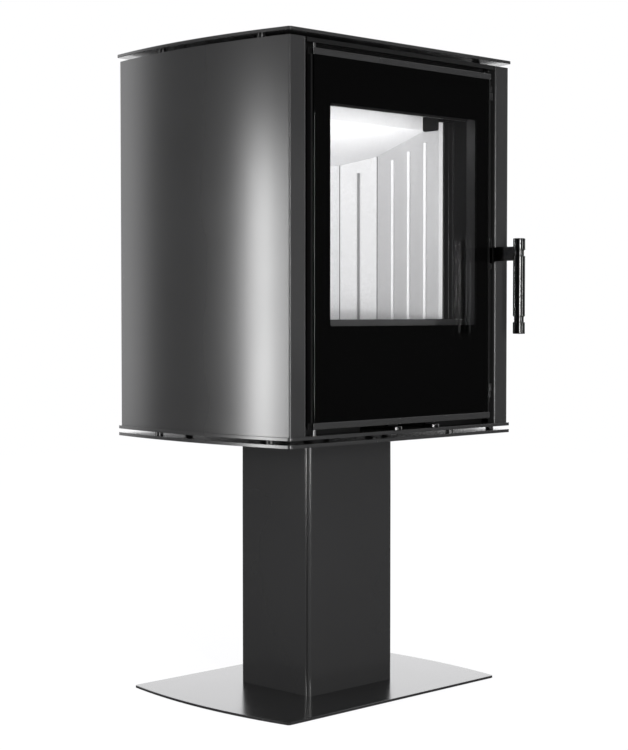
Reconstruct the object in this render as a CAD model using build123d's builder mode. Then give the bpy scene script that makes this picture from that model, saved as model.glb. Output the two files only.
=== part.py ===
from build123d import *
import os
from math import cos, radians, sin, sqrt, tan

# Wood burning stove on a square steel pedestal.
# The origin is on the floor under the middle of the stove, +Z is up and the door faces -Y.
# All lengths are in millimetres.

# --- Stock and running clearances ---
PANEL_SHEET = 2.0  # folded casing sheet
BODY_SHEET = 4.0  # welded firebox plate
LINING = 25.0  # fire bricks
SEAT_GAP = 0.3  # between loose pieces and their neighbours
PIN_CLEARANCE = 0.05  # radial, in the hinge and lock bearings

# --- Horizontal plates that frame the body ---
PLATE_WIDTH = 500.0  # along the straight front edge
PLATE_DEPTH = 398.0
PLATE = 5.0
PLATE_GAP = 6.0
PLATE_CORNER = 6.0
SIDE_BULGE = 18.5  # how far the bowed sides stand out at mid depth
PANEL_OVERHANG = 3.5  # of the plates past the side panels
FRONT_SETBACK = 4.2  # of the door front behind the plates' front edge

# --- Pedestal ---
BASE_WIDTH = 467.0
BASE_DEPTH = 358.5
BASE_PLATE = 4.0
COLUMN_WIDTH = 187.4
COLUMN_DEPTH = 156.0
COLUMN_HEIGHT = 402.5
COLUMN_CENTRE_Y = -1.5
COLUMN_SEAM = 2.0  # gap between the shell and its front cover
COVER_RETURN = 5.5  # side depth of the front cover
COVER_RADIUS = 4.5
SHELL_RADIUS = 2.5
COLUMN_LIP = 16.0
FLANGE = 5.0
STUD_RADIUS = 4.0
STUD_INSET_X = 23.7  # from the column's sides
STUD_INSET_Y = 28.0
STUD_HOLE = 4.4
NUT_HEIGHT = 6.5
NUT_FLATS = 13.0
STUD_X = COLUMN_WIDTH / 2 - STUD_INSET_X
STUD_Y = COLUMN_DEPTH / 2 - STUD_INSET_Y

# --- Body ---
BODY_HEIGHT = 577.5
STRIP_WIDTH = 32.0  # front face of each side panel
STRIP_RETURN = 14.0
REAR_FLANGE = 20.0
BEND = 2.5  # outer radius of a folded corner
FIREBOX_PLAY = 1.5  # between the firebox and the front strips' returns
FIREBOX_REAR_SPACE = 81.8  # from the firebox to the rear of the side panels
FRAME_SETBACK = 24.8  # of the plate that the door seals on, behind the door front
FRAME_PLAY = 2.5  # between the front frame and the strips
FRAME_LIP = 6.5

# --- Levels inside the firebox, above the top of the upper bottom plate ---
ASH_FLOOR = 41.0  # top of the lower firebox floor
DECK = 97.5  # top of the plate that carries the bricks
CEILING_DROP = 14.0  # firebox ceiling below the top of the panels

# --- Lining ---
SIDE_LINING_SETBACK = 70.0  # of the side bricks' front ends behind the front frame
CORNER_BRICK_REACH = 45.2  # each way, of the 45 degree corner bricks
LINING_STEP = 12.3
GROOVE_PITCH = 36.4
GROOVE_FIRST = 35.4  # from the rear end of a side brick
GROOVE_WIDTH = 7.5
GROOVE_DEPTH = 4.0
GROOVE_MARGIN = 20.0  # from the groove's top to the baffle
BAFFLE_SLOPE = 18.6
BAFFLE = 23.0
BAFFLE_SETBACK = 33.0  # behind the side bricks' front ends
BAFFLE_DROP = 83.3  # of its front edge below the firebox ceiling

# --- Door ---
DOOR_LEFT_GAP = 16.05  # between the rails and the left strip
DOOR_RIGHT_GAP = 11.65
DOOR_BOTTOM_GAP = 8.8  # above the upper bottom plate
DOOR_TOP_GAP = 13.4  # below the top of the panels
RAIL_HEIGHT = 9.7
RAIL_LIP = 1.2
RAIL_PLAY = 0.1  # between the rails and the glass
GLASS = 4.0
GLASS_SHORTFALL = 7.8  # of the glass, less wide than the rails
GLASS_SHIFT = 1.5  # towards the hinges
GLASS_TAPE = 1.2
DOOR_SHEET = 2.5
TRAY_EXCESS = 3.5  # of the folded door sheet, wider than the rails
TRAY_SHIFT = 3.9  # towards the hinges
WINDOW_RISE = 145.0  # window opening above the door's lower edge
WINDOW_DROP = 68.3  # below the door's upper edge
WINDOW_PLAY = 0.5  # between the window's return and the rope's channel
WINDOW_RETURN = 13.8
ROPE = 14.0
ROPE_WALL = 1.5
ROPE_WALL_DEPTH = 9.5
ROPE_SIDE_INSET = 17.9  # of its centre line from the ends of the rails
ROPE_RISE = 23.7  # above the door's lower edge
ROPE_DROP = 24.6
ROPE_BEND = 18.0
SEAL_LAND = 1.5  # frame plate that shows inside the rope

# --- Hinges and lock ---
HINGE_INSET = 20.5  # from the left strip to the hinge axis
HINGE_DEPTH = 5.2  # behind the door front
HINGE_PIN = 3.0
HINGE_SHOULDER = 3.5
HINGE_BUSH = 5.0
LOCK_INSET = 7.3  # from the right strip to the lock shaft's axis
LOCK_DEPTH = 8.8
LOCK_SHAFT = 4.0
LOCK_RISE = 25.5
LOCK_DROP = 11.8
HUB_RADIUS = 6.0
HUB_HEIGHT = 41.0
HUB_RISE = 270.7  # middle of the hub above the door's lower edge
ARM_THICKNESS = 6.0
ARM_HEIGHT = 22.5
ARM_DROP = 5.5
GRIP_RADIUS = 9.9
GRIP_LENGTH = 152.3
GRIP_DROP = 57.4
GRIP_REACH = 64.5  # from the lock shaft to the grip
GROOVE_RADIUS = 8.0
GRIP_GROOVE = 9.0
GRIP_GROOVE_INSET = 18.6

# --- Air controls ---
CONTROL_X = (-19.0, 67.0)
CONTROL_NAMES = ("primary_air", "secondary_air")
CONTROL_TRAVEL = 50.0
TAB_WIDTH = 18.0
TAB_LENGTH = 20.0
TAB_HEIGHT = 5.0
TAB_PLAY = 0.8  # above the upper bottom plate
LEVER_WIDTH = 8.0
LEVER_HEIGHT = 3.0
SLIDE = (70.0, 60.0, 2.0)
SLIDE_SHIFT = 23.0  # of each slide's middle away from its lever
SLIDE_SETBACK = 55.0  # of the slides' middle behind the front frame

# --- Flue and air spigots ---
FLUE_RADIUS = 74.5
FLUE_REAR_SPACE = 88.0  # from its axis to the rear of the firebox
FLUE_WALL = 2.5
FLUE_TOP_RISE = 32.0  # above the top plate
FLUE_FLANGE_WIDTH = 17.5
FLUE_HOLE_GAP = 5.5
FLUE_STUD = 3.0
FLUE_BOLTS = 4
AIR_RADIUS = 49.5
AIR_WALL = 2.0
AIR_FLANGE_WIDTH = 9.5
AIR_RISE = 67.5  # centre of the air inlet above the upper bottom plate
AIR_REACH = 40.0  # behind the rear panel

# --- Levels and places that follow ---
FRONT_Y = -PLATE_DEPTH / 2 + FRONT_SETBACK
COLUMN_TOP_Z = BASE_PLATE + COLUMN_HEIGHT
UPPER_PLATE_Z = COLUMN_TOP_Z + PLATE + PLATE_GAP
BODY_Z = UPPER_PLATE_Z + PLATE
BODY_TOP_Z = BODY_Z + BODY_HEIGHT
TOP_PLATE_Z = BODY_TOP_Z + PLATE_GAP
STOVE_TOP_Z = TOP_PLATE_Z + PLATE
PANEL_WIDTH = PLATE_WIDTH - 2 * PANEL_OVERHANG
PANEL_DEPTH = PLATE_DEPTH - 2 * FRONT_SETBACK
REAR_Y = FRONT_Y + PANEL_DEPTH
STRIP_X = PANEL_WIDTH / 2 - STRIP_WIDTH
FIREBOX_WIDTH = 2 * (STRIP_X - FIREBOX_PLAY)
FIREBOX_BACK_Y = REAR_Y - FIREBOX_REAR_SPACE
FIREBOX_INNER = FIREBOX_WIDTH / 2 - BODY_SHEET
FRAME_WIDTH = 2 * (STRIP_X - FRAME_PLAY)
FRAME_FACE_Y = FRONT_Y + FRAME_SETBACK
FRAME_BACK_Y = FRAME_FACE_Y + BODY_SHEET
CEILING_Z = BODY_TOP_Z - CEILING_DROP
ASH_FLOOR_Z = BODY_Z + ASH_FLOOR
DECK_Z = BODY_Z + DECK
LINING_FACE_X = FIREBOX_INNER - LINING
LINING_BACK_Y = FIREBOX_BACK_Y - BODY_SHEET
CORNER_END_Y = LINING_BACK_Y - LINING
CORNER_START_Y = CORNER_END_Y - CORNER_BRICK_REACH
CORNER_END_X = LINING_FACE_X - CORNER_BRICK_REACH
SIDE_LINING_FRONT_Y = FRAME_FACE_Y + SIDE_LINING_SETBACK
BAFFLE_FRONT_Y = SIDE_LINING_FRONT_Y + BAFFLE_SETBACK
BAFFLE_FRONT_Z = CEILING_Z - BAFFLE_DROP
DOOR_WIDTH = 2 * STRIP_X - DOOR_LEFT_GAP - DOOR_RIGHT_GAP
DOOR_CENTRE_X = (DOOR_LEFT_GAP - DOOR_RIGHT_GAP) / 2
DOOR_Z = BODY_Z + DOOR_BOTTOM_GAP
DOOR_TOP_Z = BODY_TOP_Z - DOOR_TOP_GAP
DOOR_HEIGHT = DOOR_TOP_Z - DOOR_Z
DOOR_CENTRE_Z = (DOOR_Z + DOOR_TOP_Z) / 2
DOOR_TRAY_WIDTH = DOOR_WIDTH + TRAY_EXCESS
DOOR_TRAY_CENTRE_X = DOOR_CENTRE_X - TRAY_SHIFT
GLASS_WIDTH = DOOR_WIDTH - GLASS_SHORTFALL
GLASS_Y = FRONT_Y + RAIL_LIP + RAIL_PLAY
TRAY_Y = GLASS_Y + GLASS + GLASS_TAPE
TRAY_BACK_Y = TRAY_Y + DOOR_SHEET
ROPE_Z = DOOR_Z + ROPE_RISE
ROPE_WIDTH = DOOR_WIDTH - 2 * ROPE_SIDE_INSET
ROPE_HEIGHT = DOOR_HEIGHT - ROPE_RISE - ROPE_DROP
ROPE_CENTRE_Z = ROPE_Z + ROPE_HEIGHT / 2
WINDOW_WIDTH = ROPE_WIDTH - ROPE - 2 * (ROPE_WALL + DOOR_SHEET + WINDOW_PLAY)
WINDOW_HEIGHT = DOOR_HEIGHT - WINDOW_RISE - WINDOW_DROP
WINDOW_Z = DOOR_Z + WINDOW_RISE
WINDOW_CENTRE_Z = WINDOW_Z + WINDOW_HEIGHT / 2
HINGE_X = -STRIP_X + HINGE_INSET
HINGE_Y = FRONT_Y + HINGE_DEPTH
LOCK_X = STRIP_X - LOCK_INSET
LOCK_Y = FRONT_Y + LOCK_DEPTH
LOCK_LENGTH = DOOR_HEIGHT - LOCK_RISE - LOCK_DROP
HUB_Z = DOOR_Z + HUB_RISE
ARM_Z = HUB_Z - ARM_DROP
GRIP_Z = HUB_Z - GRIP_DROP
GRIP_Y = LOCK_Y - GRIP_REACH
CONTROL_Z = BODY_Z + TAB_PLAY
SLIDE_X = (CONTROL_X[0] - SLIDE_SHIFT, CONTROL_X[1] + SLIDE_SHIFT)
SLIDE_Y = FRAME_FACE_Y + SLIDE_SETBACK
FLUE_Y = FIREBOX_BACK_Y - FLUE_REAR_SPACE
FLUE_FLANGE = FLUE_RADIUS + FLUE_FLANGE_WIDTH
FLUE_BOLT_CIRCLE = FLUE_RADIUS + FLUE_FLANGE_WIDTH / 2
FLUE_TOP_Z = STOVE_TOP_Z + FLUE_TOP_RISE
AIR_Z = BODY_Z + AIR_RISE

os.makedirs("parts", exist_ok=True)


def keep(piece, name):
    """Label a finished piece and write it to its own file."""
    piece.part.label = name
    export_step(piece.part, f"parts/{name}.step")


def bowed_outline(width, depth, bulge):
    """Plan outline with a straight front and back and sides that bow outwards."""
    x, y = width / 2, depth / 2
    with BuildSketch() as outline:
        with BuildLine():
            Line((-x, -y), (x, -y))
            ThreePointArc((x, -y), (x + bulge, 0), (x, y))
            Line((x, y), (-x, y))
            ThreePointArc((-x, y), (-x - bulge, 0), (-x, -y))
        make_face()
    return outline.sketch


def baffle_height(y):
    """Height of the baffle's underside at a depth y."""
    return BAFFLE_FRONT_Z - (y - BAFFLE_FRONT_Y) * tan(radians(BAFFLE_SLOPE))


# ============================ Pedestal ============================

STUD_PLACES = [(x, COLUMN_CENTRE_Y + y) for x in (-STUD_X, STUD_X) for y in (-STUD_Y, STUD_Y)]

with BuildPart() as base_plate:
    with BuildSketch():
        add(bowed_outline(BASE_WIDTH, BASE_DEPTH, SIDE_BULGE))
    extrude(amount=BASE_PLATE)
    fillet(base_plate.edges().filter_by(Axis.Z), PLATE_CORNER)
keep(base_plate, "base_plate")


COLUMN_FRONT_Y = COLUMN_CENTRE_Y - COLUMN_DEPTH / 2
COLUMN_REAR_Y = COLUMN_CENTRE_Y + COLUMN_DEPTH / 2
SHELL_FRONT_Y = COLUMN_FRONT_Y + COVER_RETURN + COLUMN_SEAM
HOOK_END_Y = SHELL_FRONT_Y + 2 * PANEL_SHEET


def column_flange(level):
    """Plate inside the column with four bolt holes and a lightening hole."""
    front, rear = HOOK_END_Y + SEAT_GAP, COLUMN_REAR_Y - PANEL_SHEET
    with BuildPart() as flange:
        with BuildSketch(Plane.XY.offset(level)) as outline:
            with Locations((0, (front + rear) / 2)):
                Rectangle(COLUMN_WIDTH - 2 * PANEL_SHEET, rear - front)
            fillet(outline.vertices(), SHELL_RADIUS)
            with Locations(*STUD_PLACES):
                Circle(STUD_HOLE, mode=Mode.SUBTRACT)
            with Locations((0, COLUMN_CENTRE_Y)):
                Circle(STUD_Y - NUT_FLATS, mode=Mode.SUBTRACT)
        extrude(amount=FLANGE)
    return flange


column_foot_flange = column_flange(BASE_PLATE)
keep(column_foot_flange, "column_foot_flange")
column_head_flange = column_flange(COLUMN_TOP_Z - FLANGE)
keep(column_head_flange, "column_head_flange")

with BuildPart() as foot_studs:
    with BuildSketch(Plane.XY.offset(BASE_PLATE)):
        with Locations(*STUD_PLACES):
            Circle(STUD_RADIUS)
    extrude(amount=FLANGE + NUT_HEIGHT + STUD_RADIUS)
    with BuildSketch(Plane.XY.offset(BASE_PLATE + FLANGE)):
        with Locations(*STUD_PLACES):
            RegularPolygon(NUT_FLATS / 2, 6, major_radius=False)
    extrude(amount=NUT_HEIGHT)
keep(foot_studs, "foot_studs")

with BuildPart() as column_shell:
    with BuildSketch(Plane.XY.offset(BASE_PLATE)) as shell_profile:
        with Locations((0, (SHELL_FRONT_Y + COLUMN_REAR_Y) / 2)):
            shell_depth = COLUMN_REAR_Y - SHELL_FRONT_Y
            Rectangle(COLUMN_WIDTH, shell_depth)
            fillet(shell_profile.vertices(), SHELL_RADIUS)
            inner_shell = (COLUMN_WIDTH - 2 * PANEL_SHEET, shell_depth - 2 * PANEL_SHEET)
            RectangleRounded(*inner_shell, SHELL_RADIUS - PANEL_SHEET, mode=Mode.SUBTRACT)
        with Locations((0, SHELL_FRONT_Y)):
            Rectangle(COLUMN_WIDTH - 2 * COLUMN_LIP, 3 * PANEL_SHEET, mode=Mode.SUBTRACT)
    extrude(amount=COLUMN_HEIGHT)
keep(column_shell, "column_shell")

with BuildPart() as column_cover:
    with BuildSketch(Plane.XY.offset(BASE_PLATE)) as cover_profile:
        with Locations((0, COLUMN_FRONT_Y + COVER_RETURN / 2)):
            Rectangle(COLUMN_WIDTH, COVER_RETURN)
            front_corners = cover_profile.vertices().group_by(Axis.Y)[0]
            fillet(front_corners, COVER_RADIUS)
        with Locations((0, COLUMN_FRONT_Y + PANEL_SHEET + COVER_RETURN / 2)):
            Rectangle(COLUMN_WIDTH - 4 * PANEL_SHEET, COVER_RETURN, mode=Mode.SUBTRACT)
        for side in (-1, 1):
            hook_x = side * (COLUMN_WIDTH / 2 - COLUMN_LIP - PANEL_SHEET)
            hook_depth = HOOK_END_Y - COLUMN_FRONT_Y - PANEL_SHEET
            with Locations((hook_x, COLUMN_FRONT_Y + PANEL_SHEET + hook_depth / 2)):
                Rectangle(PANEL_SHEET, hook_depth)
    extrude(amount=COLUMN_HEIGHT)
keep(column_cover, "column_cover")

# ============================ Bottom plates ============================

SPACER_RADIUS = 6.5
SPACER_EDGE = 8.5  # from a plate's edge to a spacer's axis
PLATE_ARC = ((PLATE_DEPTH / 2) ** 2 + SIDE_BULGE**2) / (2 * SIDE_BULGE)


def bowed_edge(y, width=PLATE_WIDTH):
    """Half width of a bowed outline at depth y."""
    return width / 2 + SIDE_BULGE - PLATE_ARC + sqrt(PLATE_ARC**2 - y**2)


SIDE_SPACER_INSET = (43.0, 111.0)  # of the side spacers from the front and rear edges
SIDE_SPACER_Y = (
    -PLATE_DEPTH / 2 + SIDE_SPACER_INSET[0],
    PLATE_DEPTH / 2 - SIDE_SPACER_INSET[1],
)
FRONT_SPACER_X = 108.0
EDGE_SPACERS = [
    (side * (bowed_edge(y) - SPACER_EDGE), y) for side in (-1, 1) for y in SIDE_SPACER_Y
] + [(FRONT_SPACER_X, -PLATE_DEPTH / 2 + SPACER_EDGE)] + [
    (x, PLATE_DEPTH / 2 - SPACER_EDGE) for x in (-FRONT_SPACER_X, FRONT_SPACER_X)
]

for plate_name, level in (("lower_plate", COLUMN_TOP_Z), ("upper_plate", UPPER_PLATE_Z)):
    with BuildPart() as bottom_plate:
        with BuildSketch(Plane.XY.offset(level)) as plate_outline:
            add(bowed_outline(PLATE_WIDTH, PLATE_DEPTH, SIDE_BULGE))
            fillet(plate_outline.vertices(), PLATE_CORNER)
            with Locations(*STUD_PLACES):
                Circle(STUD_HOLE, mode=Mode.SUBTRACT)
            if plate_name == "upper_plate":
                with Locations((HINGE_X, HINGE_Y)):
                    Circle(HINGE_BUSH, mode=Mode.SUBTRACT)
        extrude(amount=PLATE)
    keep(bottom_plate, plate_name)

with BuildPart() as plate_spacers:
    with BuildSketch(Plane.XY.offset(COLUMN_TOP_Z + PLATE)):
        with Locations(*EDGE_SPACERS, *STUD_PLACES):
            Circle(SPACER_RADIUS)
        with Locations(*STUD_PLACES):
            Circle(STUD_HOLE, mode=Mode.SUBTRACT)
    extrude(amount=PLATE_GAP)
keep(plate_spacers, "plate_spacers")

BOLT_HEAD = 5.5
with BuildPart() as body_bolts:
    bolt_head_z = COLUMN_TOP_Z - FLANGE - BOLT_HEAD
    shank = BOLT_HEAD + FLANGE + 2 * PLATE + PLATE_GAP + NUT_HEIGHT + STUD_RADIUS
    with BuildSketch(Plane.XY.offset(bolt_head_z)):
        with Locations(*STUD_PLACES):
            Circle(STUD_RADIUS)
    extrude(amount=shank)
    with BuildSketch(Plane.XY.offset(bolt_head_z)):
        with Locations(*STUD_PLACES):
            RegularPolygon(NUT_FLATS / 2, 6, major_radius=False)
    extrude(amount=BOLT_HEAD)
    with BuildSketch(Plane.XY.offset(BODY_Z)):
        with Locations(*STUD_PLACES):
            RegularPolygon(NUT_FLATS / 2, 6, major_radius=False)
    extrude(amount=NUT_HEIGHT)
keep(body_bolts, "body_bolts")

# ============================ Firebox plates ============================

WALL_DEPTH = FIREBOX_BACK_Y - FRAME_BACK_Y
WALL_CENTRE_Y = (FIREBOX_BACK_Y + FRAME_BACK_Y) / 2

for side_name, side in (("left", -1), ("right", 1)):
    with BuildPart() as side_wall:
        with BuildSketch(Plane.XY.offset(BODY_Z)):
            with Locations((side * (FIREBOX_INNER + BODY_SHEET / 2), WALL_CENTRE_Y)):
                Rectangle(BODY_SHEET, WALL_DEPTH)
        extrude(amount=CEILING_Z - BODY_Z - BODY_SHEET)
    keep(side_wall, f"firebox_{side_name}_wall")

AIR_PORT_WIDTH = 84.0
AIR_PORT_HEIGHT = 24.0
with BuildPart() as firebox_back_wall:
    with BuildSketch(Plane.XY.offset(BODY_Z)):
        with Locations((0, FIREBOX_BACK_Y - BODY_SHEET / 2)):
            Rectangle(2 * FIREBOX_INNER, BODY_SHEET)
    extrude(amount=CEILING_Z - BODY_Z - BODY_SHEET)
    with BuildSketch(Plane.XZ.offset(-FIREBOX_BACK_Y)):
        with Locations((0, BODY_Z + AIR_PORT_HEIGHT / 2 + BODY_SHEET)):
            RectangleRounded(AIR_PORT_WIDTH, AIR_PORT_HEIGHT, BEND)
    extrude(amount=BODY_SHEET, mode=Mode.SUBTRACT)
keep(firebox_back_wall, "firebox_back_wall")

with BuildPart() as firebox_ceiling:
    with BuildSketch(Plane.XY.offset(CEILING_Z - BODY_SHEET)):
        with Locations((0, WALL_CENTRE_Y)):
            Rectangle(FIREBOX_WIDTH, WALL_DEPTH)
        with Locations((0, FLUE_Y)):
            Circle(FLUE_RADIUS - FLUE_WALL, mode=Mode.SUBTRACT)
    extrude(amount=BODY_SHEET)
    with BuildSketch(Plane.XY.offset(CEILING_Z)):
        with Locations((0, FLUE_Y)):
            with PolarLocations(FLUE_BOLT_CIRCLE, FLUE_BOLTS, 45):
                Circle(FLUE_STUD)
    extrude(amount=CEILING_DROP)
keep(firebox_ceiling, "firebox_ceiling")

PORT = (10.0, 44.0)
PORT_PITCH = 20.0
with BuildPart() as firebox_floor:
    with BuildSketch(Plane.XY.offset(ASH_FLOOR_Z - BODY_SHEET)):
        with Locations((0, (FRAME_BACK_Y + LINING_BACK_Y) / 2)):
            Rectangle(2 * FIREBOX_INNER, LINING_BACK_Y - FRAME_BACK_Y)
        for slide_x in SLIDE_X:
            with Locations((slide_x - CONTROL_TRAVEL, SLIDE_Y)):
                with GridLocations(PORT_PITCH, 0, 2, 1):
                    SlotOverall(PORT[1], PORT[0], 90, mode=Mode.SUBTRACT)
    extrude(amount=BODY_SHEET)
keep(firebox_floor, "firebox_floor")

GRATE_WIDTH = 160.0
GRATE_MARGIN = (15.0, 19.0)  # of the floor bricks in front of it and behind it
GRATE_SEAT = 10.0  # width of the edge that the grate rests on
GRATE_DEPTH = CORNER_END_Y - SIDE_LINING_FRONT_Y - sum(GRATE_MARGIN)
GRATE_CENTRE_Y = SIDE_LINING_FRONT_Y + GRATE_MARGIN[0] + GRATE_DEPTH / 2
ASH_OPENING = (GRATE_WIDTH - 2 * GRATE_SEAT, GRATE_DEPTH - 2 * GRATE_SEAT)
with BuildPart() as brick_deck:
    with BuildSketch(Plane.XY.offset(DECK_Z - BODY_SHEET)):
        with Locations((0, (FRAME_BACK_Y + LINING_BACK_Y) / 2)):
            Rectangle(2 * FIREBOX_INNER, LINING_BACK_Y - FRAME_BACK_Y)
        with Locations((0, GRATE_CENTRE_Y)):
            Rectangle(*ASH_OPENING, mode=Mode.SUBTRACT)
    extrude(amount=BODY_SHEET)
keep(brick_deck, "brick_deck")

# ============================ Front frame ============================

SEAL_OPENING_WIDTH = ROPE_WIDTH - ROPE - 2 * SEAL_LAND
SEAL_OPENING_HEIGHT = ROPE_HEIGHT - ROPE - 2 * SEAL_LAND
SEAL_OPENING_Z = ROPE_Z + ROPE / 2 + SEAL_LAND
LEVER_NOTCH = 7.5
LEVER_PLAY = 3.0

with BuildPart() as front_frame:
    with BuildSketch(Plane.XZ.offset(-FRAME_BACK_Y)):
        with Locations((0, BODY_Z + BODY_HEIGHT / 2)):
            Rectangle(FRAME_WIDTH, BODY_HEIGHT)
        with Locations((DOOR_CENTRE_X, SEAL_OPENING_Z + SEAL_OPENING_HEIGHT / 2)):
            opening = (SEAL_OPENING_WIDTH, SEAL_OPENING_HEIGHT, ROPE_BEND - ROPE / 2)
            RectangleRounded(*opening, mode=Mode.SUBTRACT)
        for control_x in CONTROL_X:
            notch_width = CONTROL_TRAVEL + LEVER_WIDTH + 2 * LEVER_PLAY
            with Locations((control_x - CONTROL_TRAVEL / 2, BODY_Z + LEVER_NOTCH / 2)):
                Rectangle(notch_width, LEVER_NOTCH, mode=Mode.SUBTRACT)
    extrude(amount=BODY_SHEET)
    with BuildSketch(Plane.YZ.offset(-FRAME_WIDTH / 2)):
        with BuildLine():
            Polyline(
                (FRAME_FACE_Y, BODY_TOP_Z),
                (FRONT_Y, BODY_TOP_Z),
                (FRONT_Y, BODY_TOP_Z - FRAME_LIP),
                (FRONT_Y + PANEL_SHEET, BODY_TOP_Z - FRAME_LIP),
                (FRONT_Y + PANEL_SHEET, BODY_TOP_Z - PANEL_SHEET),
                (FRAME_FACE_Y, BODY_TOP_Z - PANEL_SHEET),
                close=True,
            )
        make_face()
    extrude(amount=FRAME_WIDTH)
    with BuildSketch(Plane.XY.offset(BODY_TOP_Z - PANEL_SHEET)):
        with Locations((HINGE_X, HINGE_Y)):
            Circle(HINGE_BUSH)
    extrude(amount=PANEL_SHEET, mode=Mode.SUBTRACT)
keep(front_frame, "front_frame")

CAM_HEIGHT = 12.0
CAM_INSET = 24.0
CAM_WIDTH = 5.0
CAM_LENGTH = 11.0
KEEPER_WIDTH = 1.6
CAM_LEVELS = (DOOR_Z + LOCK_RISE + CAM_INSET, DOOR_Z + LOCK_RISE + LOCK_LENGTH - CAM_INSET)
KEEPER_REACH = 9.5

with BuildPart() as door_keepers:
    for level in CAM_LEVELS:
        with BuildSketch(Plane.XY.offset(level - CAM_HEIGHT / 2)):
            keeper_x = FRAME_WIDTH / 2 - KEEPER_WIDTH / 2
            with Locations((keeper_x, FRAME_FACE_Y - KEEPER_REACH / 2)):
                Rectangle(KEEPER_WIDTH, KEEPER_REACH)
        extrude(amount=CAM_HEIGHT)
keep(door_keepers, "door_keepers")

with BuildPart() as hinge_bushes:
    for level, length in ((UPPER_PLATE_Z, PLATE), (BODY_TOP_Z - PANEL_SHEET, PANEL_SHEET)):
        with BuildSketch(Plane.XY.offset(level)):
            with Locations((HINGE_X, HINGE_Y)):
                Circle(HINGE_BUSH)
                Circle(HINGE_PIN + PIN_CLEARANCE, mode=Mode.SUBTRACT)
        extrude(amount=length)
keep(hinge_bushes, "hinge_bushes")

# ============================ Flue outlet ============================

GASKET = 3.0
FLUE_FLANGE_SHEET = 4.0
FLUE_NUT = 5.0

with BuildPart() as flue_gasket:
    with BuildSketch(Plane.XY.offset(CEILING_Z)):
        with Locations((0, FLUE_Y)):
            Circle(FLUE_BOLT_CIRCLE - FLUE_STUD - GASKET)
            Circle(FLUE_RADIUS - FLUE_WALL, mode=Mode.SUBTRACT)
    extrude(amount=GASKET)
keep(flue_gasket, "flue_gasket")

with BuildPart() as flue_collar:
    with BuildSketch(Plane.XY.offset(CEILING_Z + GASKET)):
        with Locations((0, FLUE_Y)):
            Circle(FLUE_FLANGE)
            Circle(FLUE_RADIUS - FLUE_WALL, mode=Mode.SUBTRACT)
            with PolarLocations(FLUE_BOLT_CIRCLE, FLUE_BOLTS, 45):
                Circle(FLUE_STUD + SEAT_GAP, mode=Mode.SUBTRACT)
    extrude(amount=FLUE_FLANGE_SHEET)
    with BuildSketch(Plane.XY.offset(CEILING_Z + GASKET)):
        with Locations((0, FLUE_Y)):
            Circle(FLUE_RADIUS)
            Circle(FLUE_RADIUS - FLUE_WALL, mode=Mode.SUBTRACT)
    extrude(amount=FLUE_TOP_Z - CEILING_Z - GASKET)
keep(flue_collar, "flue_collar")

with BuildPart() as flue_nuts:
    with BuildSketch(Plane.XY.offset(CEILING_Z + GASKET + FLUE_FLANGE_SHEET)):
        with Locations((0, FLUE_Y)):
            with PolarLocations(FLUE_BOLT_CIRCLE, FLUE_BOLTS, 45):
                RegularPolygon(FLUE_NUT, 6, major_radius=False)
                Circle(FLUE_STUD, mode=Mode.SUBTRACT)
    extrude(amount=FLUE_NUT)
keep(flue_nuts, "flue_nuts")

# ============================ Casing ============================

PANEL_ARC = ((PANEL_DEPTH / 2) ** 2 + SIDE_BULGE**2) / (2 * SIDE_BULGE)
BRACKET_INSET = (64.8, 104.8)  # of the brackets' middles from the casing's front and rear
BRACKET_Y = (FRONT_Y + BRACKET_INSET[0], REAR_Y - BRACKET_INSET[1])
BRACKET_WIDTH = 40.0
BRACKET = 3.0
BRACKET_LEG = 38.0


def panel_inside(y):
    """Distance from the middle to a side panel's inner surface at depth y."""
    edge = PANEL_WIDTH / 2 + SIDE_BULGE - PANEL_ARC + sqrt(PANEL_ARC**2 - y**2)
    return edge - PANEL_SHEET


with BuildPart() as panel_brackets:
    for side in (-1, 1):
        for y in BRACKET_Y:
            reach = panel_inside(abs(y) + BRACKET_WIDTH / 2) - SEAT_GAP
            foot = FIREBOX_WIDTH / 2
            for level, upward in ((BODY_TOP_Z, -1), (BODY_Z, 1)):
                with BuildSketch(Plane.XZ.offset(-y - BRACKET_WIDTH / 2)):
                    with BuildLine():
                        Polyline(
                            (side * foot, level),
                            (side * reach, level),
                            (side * reach, level + upward * BRACKET),
                            (side * (foot + BRACKET), level + upward * BRACKET),
                            (side * (foot + BRACKET), level + upward * BRACKET_LEG),
                            (side * foot, level + upward * BRACKET_LEG),
                            close=True,
                        )
                    make_face()
                extrude(amount=BRACKET_WIDTH)
keep(panel_brackets, "panel_brackets")

with BuildPart() as top_spacers:
    with BuildSketch(Plane.XY.offset(BODY_TOP_Z)):
        for side in (-1, 1):
            for y in BRACKET_Y:
                with Locations((side * (panel_inside(y) - 2 * SPACER_RADIUS), y)):
                    Circle(SPACER_RADIUS)
    extrude(amount=PLATE_GAP)
keep(top_spacers, "top_spacers")

with BuildPart() as top_plate:
    with BuildSketch(Plane.XY.offset(TOP_PLATE_Z)) as top_outline:
        add(bowed_outline(PLATE_WIDTH, PLATE_DEPTH, SIDE_BULGE))
        fillet(top_outline.vertices(), PLATE_CORNER)
        with Locations((0, FLUE_Y)):
            Circle(FLUE_RADIUS + FLUE_HOLE_GAP, mode=Mode.SUBTRACT)
    extrude(amount=PLATE)
keep(top_plate, "top_plate")

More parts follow.
